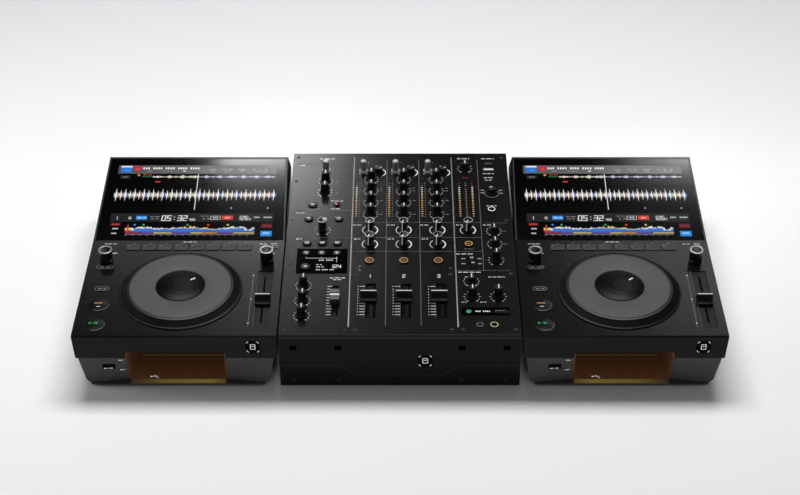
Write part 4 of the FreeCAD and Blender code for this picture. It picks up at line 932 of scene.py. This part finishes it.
def mixer_knobs():
    ring_all = [a for a in range(-150, 151, 30) if a]
    low = [a for a in ring_all if abs(a) >= 60]
    marks, fixed, trims = Shape(), Shape(), Shape()

    def dial(x, y, ticks, height=20, r=12.3):
        tone_knob(fixed, x, y, height)
        tick_ring(marks, x, y, r, ticks)

    for x in CHANNELS:
        for y in (425.5, 391, 356.5, 322):
            dial(x, y, low)
        tone_knob(fixed, x + 13.4, 447, 11, pointer=False)
        fixed.slant(x + 15.6, 447, 4, 1, 0, ink_white_glow, 10.95, 11.06)
        marks.arc(x + 13.4, 447, 12.2, 1.5, 35, 145, ink_white_glow)
        for y, length in ((433, 3), (399, 5), (391.5, 5), (362, 6), (322, 5)):
            marks.words(x + 17.8, y, length, 1.6, ink_grey_glow)
        marks.words(x + 13.5, 467, 13, 1.6)
        marks.words(x - 8, 478, 8, 1.5, ink_grey_glow)
        tick_ring(marks, x - 14.2, TRIM_Y, 10.2, [-150, 150])
    base, top = PANEL_Z, PANEL_Z + 22
    skirt = [(8.2, base), (8.2, base + 1.2), (7.4, base + 2.4), (6, base + 3.6)]
    grip = [(5.6, base + 3.4), (5.3, base + 6), (5.2, top - 0.9), (5, top - 0.3), (4.5, top - 0.1)]
    for x in [x - 14.2 for x in CHANNELS] + [MIC_X]:
        trims.turned(x, TRIM_Y, skirt, trim_top)
        trims.turned(x, TRIM_Y, grip, trim_grey, 40, flutes=(20, 0.25, base + 5.9, top - 0.8))
        trims.turned(x, TRIM_Y, [(4.4, top - 0.3), (4.3, top - 0.05), (2.6, top)], trim_top, 32)
        trims.bar(x, TRIM_Y + 0.6, 1.1, 7, lit_white, 21.9, 22.05)
    for y in (420, 386.5):
        dial(MIC_X, y, low)
        marks.words(-110, y - 2, 4.5, 1.6, ink_grey_glow)
    dial(157.3, 98.5, ring_all, r=12.6)
    dial(158.2, 194, low, r=12.6)
    for y in (274, 238):
        dial(158.2, y, ring_all, 11)
        marks.words(176, y, 5, 1.6, ink_grey_glow)
    dial(115.5, 138, ring_all, 11)

    # source selector, with the screen of its small key above it
    tone_knob(fixed, *SELECTOR, 11, pointer=False)
    fixed.bar(157.6, 387.8, 5, 1.6, lit_white, 10.95, 11.08)
    marks.arc(*SELECTOR, 12.6, 0.8, 60, 300, ink_grey_glow, steps=28)
    marks.hoop(tablet(156.6, 457, 19, 9.4, 1.2), 0.6, SUNK, 0.12, line_grey)
    marks.bar(156.6, 457.4, 17, 3.6, lit_white, 0.02, 0.14)
    for u, v in ((-16, 9), (16, 9), (-16, 1), (17, 0), (0, 16)):
        marks.words(SELECTOR[0] + u, SELECTOR[1] + v, 6, 1.3)
    fixed.place("tone_grips", "black_knob", "tone_knobs", 40, "root")
    trims.place("trim_grips", "silver_knob", "trim_knobs", 40, "root")

    # knobs that turn
    for name, x, y, ticks in (
        ("master_level", 114.5, 460, low), ("monitor_level", 115.5, 98.5, ring_all),
        ("effect_time", -155.8, 127, ring_all), ("effect_tone", -155.8, 88.5, ring_all),
        ("effect_depth", -155.8, 51, ring_all),
    ):
        k = Shape()
        tone_knob(k, x, y, 13 if name == "master_level" else 20, PANEL_Z + 0.6)
        k.place(name + "_knob_grip", "black_knob", name + "_knob", 40)
        tick_ring(marks, x, y, 12.6, ticks)
    tall = [("effect_filter_knob", MIC_X, 277), ("master_filter_knob", 114.5, 277)]
    for i, x in enumerate(CHANNELS, 1):
        tall += [(f"filter_knob_{i}", x, 277), (f"colour_knob_{i}", x, 237.5)]
    for name, x, y in tall:
        k = Shape()
        rim_knob(k, x, y, 6.8, 8, 1.4, 22, 18, rim_bright)
        plain = name != "effect_filter_knob"
        turn = radians(157 if plain else -45)
        dx, dy = -sin(turn), cos(turn)
        k.slant(x + dx * 4.9, y + dy * 4.9, 6, 1.3, turn + pi / 2, lit_white, 20.4, 22.1)
        # a thin glowing streak down the grip's side: a painted highlight
        k.slant(x + dx * 6.6, y + dy * 6.6, 0.5, 1.2, turn + pi / 2, cap_line_and_painted_highlight, 3, 19.6)
        k.place(name + "_grip", "rimmed_knob", name, 16)
        if plain:
            marks.arc(x, y, 13.6, 1.8, 35, 140, lit_white)
            marks.arc(x, y, 13.3, 0.9, -140, -40, ink_white_glow)
        else:
            tick_ring(marks, x, y, 13, low)
    mixer_words(marks)
    marks.place("mixer_marks")


def mixer_words(s):
    """Bare rows of blocks at the places of the panel's labels: x, y, length, height."""
    for i, x in enumerate(CHANNELS, 1):
        s.words(x - 22, 291.3, 14, 1.9)
        s.words(x - 21.5, 251.9, 11, 1.9)
        s.digits(str(i), x, 151.8, 7.5, lit_white)
    white = (
        (100.6, 291.3, 12, 1.9), (-129.6, 489.6, 27, 2.4), (-173.2, 469.1, 9, 1.6),
        (112.5, 490.3, 22, 2.4), (156.2, 490.3, 23, 2.4), (-108.7, 361, 21, 1.9),
        (-109.8, 337.5, 18, 2.2), (-170, 325.8, 15, 2), (-169.2, 251.9, 10, 1.9),
        (-101.6, 146.8, 25, 2.2), (-101, 142.2, 15, 1.8), (147.2, 291.3, 14, 1.9),
        (106.6, 210.8, 28, 2.2), (113.3, 161.8, 37, 2.2), (156.8, 149.2, 27, 1.8),
        (113, 149.6, 16, 1.6), (155.8, 443.8, 20, 2), (155.2, 431.2, 16, 2),
        (154.8, 423.5, 12, 1.8), (157, 346.6, 18, 1.8), (102, 84.5, 8, 1.5), (133, 84.5, 10, 1.5),
        (104, 198, 6.5, 1.5), (131, 198, 6, 1.5), (104, 184.5, 6.5, 1.5), (131, 184.5, 6, 1.5),
    )
    grey = ((-149, 338, 24, 1.6), (114.5, 224.5, 15, 1.6), (-66, 178, 4, 3), (-66, 167, 4, 3))
    for rows, ink in ((white, ink_white_glow), (grey, ink_grey_glow)):
        for row in rows:
            s.words(*row, ink)


def mixer_buttons():
    s = Shape()
    foot = 87.4 - PANEL_Z
    rounds = [(-149.8, 348, 7.6), (-155, 174.5, 7.6), (-154.9, 308, 7.6), (-103.9, 308, 7.6)]
    for x, y, r in rounds + [(x, 211, 6.3) for x in EFFECT_XS]:
        s.prism(circle(x, y, r), foot, 3, round_key, 0.8)
        s.hoop(circle(x, y, r - 0.5), 0.5, 2.7, 3.06, line_grey)
        s.words(x, y + 1.3, r * 0.95, 1.7, lit_white, 2.95, 3.08)
        s.words(x, y - 1.3, r * 0.7, 1.7, ink_white_glow, 2.95, 3.08)
    for x in EFFECT_XS:
        s.prism(tablet(x, 238.5, 14.4, 11.2, 5.5, 8), foot, 3, round_key, 0.8)
        s.words(x, 240.2, 8.6, 1.9, lit_white, 2.95, 3.08)
        s.words(x, 237.2, 6.6, 1.9, ink_white_glow, 2.95, 3.08)
    s.prism(circle(-108.6, 350, 5.4, 32), foot, 3, round_key, 0.7)
    s.prism(circle(-108.6, 350, 3.8, 24), 2.9, 3.08, alert_red, 0.1)
    s.prism(circle(156.8, 334, 6.6, 40), foot, 3, round_key, 0.8)
    s.hoop(circle(156.8, 334, 6.4, 40), 1.4, 2.6, 3.15, lit_white)
    s.prism(tablet(156.8, 471, 12, 5, 0.8), foot, 3, key_grey, 0.6)
    s.hoop(tablet(156.8, 471, 11.6, 4.6, 0.7), 0.5, 2.8, 3.05, line_grey)
    s.place("mixer_keys", "button_plastic", "mixer_buttons")

    s = Shape()
    for x, y, r in [(x, 190.5, 7.6) for x in CHANNELS] + [(114.5, 236, 7)]:
        s.prism(circle(x, y, r), foot, 3, round_key, 0.6)
        s.hoop(circle(x, y, r - 0.4), 1.5, 2.7, 3.1, cue_amber)
        s.words(x, y, 6.5, 2, cue_amber, 2.9, 3.1)
    s.place("cue_keys", "amber_button", "cue_buttons")

    s = Shape()
    for x, y in ((118, 198), (120, 184.5)):
        s.prism(tablet(x, y, 6, 4, 0.8), 87.7 - PANEL_Z, 3, silver_and_painted_highlight, 0.6)
    s.place("toggle_levers", "button_plastic", "toggle_switches")


def mixer_faders():
    marks, troughs = Shape(), Shape(plane=level(TROUGH_Z))
    for i, x in enumerate(CHANNELS, 1):
        f = Shape()
        ridged_cap(f, x, 96.5, 26, 87.7)
        f.place(f"channel_cap_{i}", "fader_cap", f"channel_fader_{i}")
        # a dark band inside each trough, shifted to the right: painted shade beside the fader
        troughs.hoop(tablet(x + 2.5, 88.5, 17.9, 86.5, 0.3, 1), 4.4, 0, 0.12, trough_painted_shade)
        troughs.bar(x, 88.5, 3.4, 67, slot_black, -0.8, 0.14)
        troughs.bar(x - 6.2, 88.5, 0.5, 86, line_grey, 1.5, 1.78)
        for k in range(11):
            marks.bar(x - 17.2, 53 + 7.17 * k, 1.2, 1.5)
        for k in range(5):
            marks.bar(x - 10, 53 + 7.17 * k, 8.6, 0.9, ink_white_glow if k < 4 else ink_grey_glow)
        for y in (89.1, 96.2, 103.1):
            marks.bar(x - 12.1, y, 1.2, 0.9, ink_grey_glow)
        marks.bar(x - 10.3, 124.7, 8, 0.8)
    f = Shape()
    dished_cap(f, -104.4, 91.4, 87.7)
    f.place("mix_cap", "fader_cap", "mix_fader")
    # a dark band inside the trough: painted shade
    troughs.hoop(tablet(-104.4, 88.5, 11.9, 77, 0.3, 1), 3.8, 0, 0.12, trough_painted_shade)
    troughs.bar(-104.4, 88.5, 3.4, 55, slot_black, -0.8, 0.14)
    troughs.place("fader_troughs")
    for k in range(11):
        marks.bar(-113.3, 53 + 7.2 * k, 8.4, 0.9)
    marks.place("fader_marks")


def screws():
    """Domed heads with a cross cut in each and a painted highlight on the lower rim."""
    s = Shape()

    def head(x, y):
        dome = [(0, SUNK), (0, 0.25), (-0.4, 0.62), (-1.3, 0.9), (-2.4, 1)]
        s.stack(circle(x, y, 3.3, 24), dome, screw_metal)
        s.bar(x, y, 3, 0.7, slot_black, 0.8, 0.99)
        s.bar(x, y, 0.7, 3, slot_black, 0.8, 0.99)
        # a silver arc on the lower rim: a painted highlight
        s.arc(x, y, 3.1, 0.7, 110, 250, silver_and_painted_highlight, 0.3, 0.62, 8)

    top = [(x, 17.5) for x in (-181, -87.6, -71.2, 82, 98.4, 181)]
    top += [(-181, y) for y in (186, 305, 420, 494)] + [(181, y) for y in (158, 305, 494)]
    for x, y in top + [(x, y) for x in (-69.5, 82.4) for y in (157, 173)]:
        head(x, y)
    s.plane = facing_front(2)
    for x in (-167.4, -97, 97, 167.4):
        head(x, 16.5)
    s.place("screw_heads", "screw_steel", "panel_screws", body="root")


def meters():
    s = Shape()
    white, dot, amber, orange, pink, green = meter_tints
    levels = [dot] + [orange] * 6 + [amber] * 3 + [white] * 4 + [pink] * 2

    def column(x, looks, length=2.9, width=2.4, small=False):
        for k, look in enumerate(looks):
            y = 316.5 + 6.5 * k
            s.bar(x, y, length, width, look, 0.25, 0.38)
            if small:
                s.bar(x + 5.4, y, 1.4, 1.5, dot)

    for x in CHANNELS:
        column(x - 24.8, levels, small=True)
        s.bar(x - 23.4, 429, 4.2, 4.4, teal_dim)
    for x in (103.2, 125.8):
        column(x, levels)
    s.bar(114.5, 431, 10, 1.6, pink)
    column(114.5, [dot] * 13 + [pink, dot, green], 2.6, 1.7)
    s.place("meter_lights", "meter_lens")


def readout():
    s = Shape()
    thin = (0, 0.06)
    for x in EFFECT_XS:
        s.bar(x, 201, 0.6, 3.5, ink_white_glow, *thin)
    s.bar(-129.6, 199.4, 51, 0.6, ink_white_glow, *thin)
    s.bar(-104.2, 194, 0.6, 11, ink_white_glow, *thin)
    rows = ((-122, 194, 24, 3), (-133, 182, 10, 1.8), (-131, 176, 13, 2.4), (-123, 168.5, 30, 2.6))
    for row in rows:
        s.words(*row, lit_white, *thin)
    s.digits("124", -112, 177.5, 8, lit_white, *thin)
    s.words(-98, 176.5, 5, 2.4, lit_white, *thin)
    # a painted highlight round the readout's edge
    s.hoop(tablet(-128.4, 191.35, 85.6, 69.5, 1.5), 0.5, 0, 0.14, painted_edge_highlight)
    s.place("readout_marks", "display_glass")


def jacks_and_badge():
    s = Shape()
    mouth = PANEL_Z + 1.5
    for x, r, bore, depth, width, metal in (
        (148.1, 7, 3.2, 30, 1.4, cream), (125.3, 6.2, 1.8, 15, 0.9, line_grey),
    ):
        end = mouth - depth
        s.turned(x, JACK_Y, [
            (bore, end), (bore, mouth - 0.5), (bore + 0.5, mouth), (r - 0.9, mouth),
            (r - 0.2, mouth - 0.4), (r, mouth - 1), (r, PANEL_Z - 0.1),
            (bore + 2.5, PANEL_Z - 0.1), (bore + 2.5, end - 3), (0.01, end - 3), (0.01, end),
        ], socket_black, closed=True)
        s.hoop(circle(x, JACK_Y, r - 0.5), width, 1.42, 1.62, metal)
    s.place("jack_collars", "brass_plating", "headphone_jacks", body="root")
    s = Shape()
    s.prism(tablet(135.6, 61, 77.6, 20, 1), SUNK, 0.35, readout_black, 0.15)
    s.prism(circle(109, 61, 4.2, 24), 0.3, 0.5, badge_teal, 0.1)
    s.words(131, 61, 24, 3, ink_white_glow, 0.3, 0.45)
    s.words(158, 63, 16, 1.6, ink_grey_glow, 0.3, 0.45)
    s.place("plain_badge")


def front_face():
    """The casing's folded line, its sign, and the bevel along the panel's front edge, painted
    lighter as a sheen and with painted highlights along its edges.
    """
    s = Shape(plane=facing_front(0))
    for side in (-1, 1):
        s.slant(side * 143, 45.3, 94, 0.8, 0, casing_line, SUNK, 0.01)
        s.slant(side * 80.7, 34.7, 36.6, 0.8, side * atan2(21, 30), casing_line, SUNK, 0.01)
    s.bar(0, 24.3, 132, 0.8, casing_line, SUNK, 0.01)
    pictogram(s, 39.7, 55.6, 21)
    s.place("front_badge", "casing")
    s = Shape(plane=lambda u, v, w: (u, 2.5 + 0.7071 * (v - w), PANEL_Z - 2.5 + 0.7071 * (v + w)))
    # the bevel's lighter grey is a painted sheen, and the thin lines along its edges painted
    # highlights
    s.bar(0, 0, 379, 6.6, chamfer_painted_sheen, SUNK, 0.03)
    for v in (-3.1, 3.1):
        s.bar(0, v, 379, 0.45, painted_edge_highlight, 0.02, 0.05)
    s.place("panel_edge_sheen")


# ---- putting it together ----
studio()
for side in ("left", "right"):
    deck(side)
dress({
    "mixer_chassis": chassis_black,
    "mixer_top_panel": panel_black,
    "mixer_display": readout_black,
    "level_meters": lens_dark,
    "jog_centre_displays": dome_black,
    "bay_housings": painted_bay_wall_glow,
    "bay_light_panels": bay_glow,
    "disc_drives": plated_steel,
    "circuit_boards": board_green,
    "usb_sockets": plated_steel,
    "rear_sockets": socket_black,
    "rubber_feet": rubber,
})
rails()
mixer_knobs()
mixer_buttons()
mixer_faders()
screws()
meters()
readout()
jacks_and_badge()
front_face()
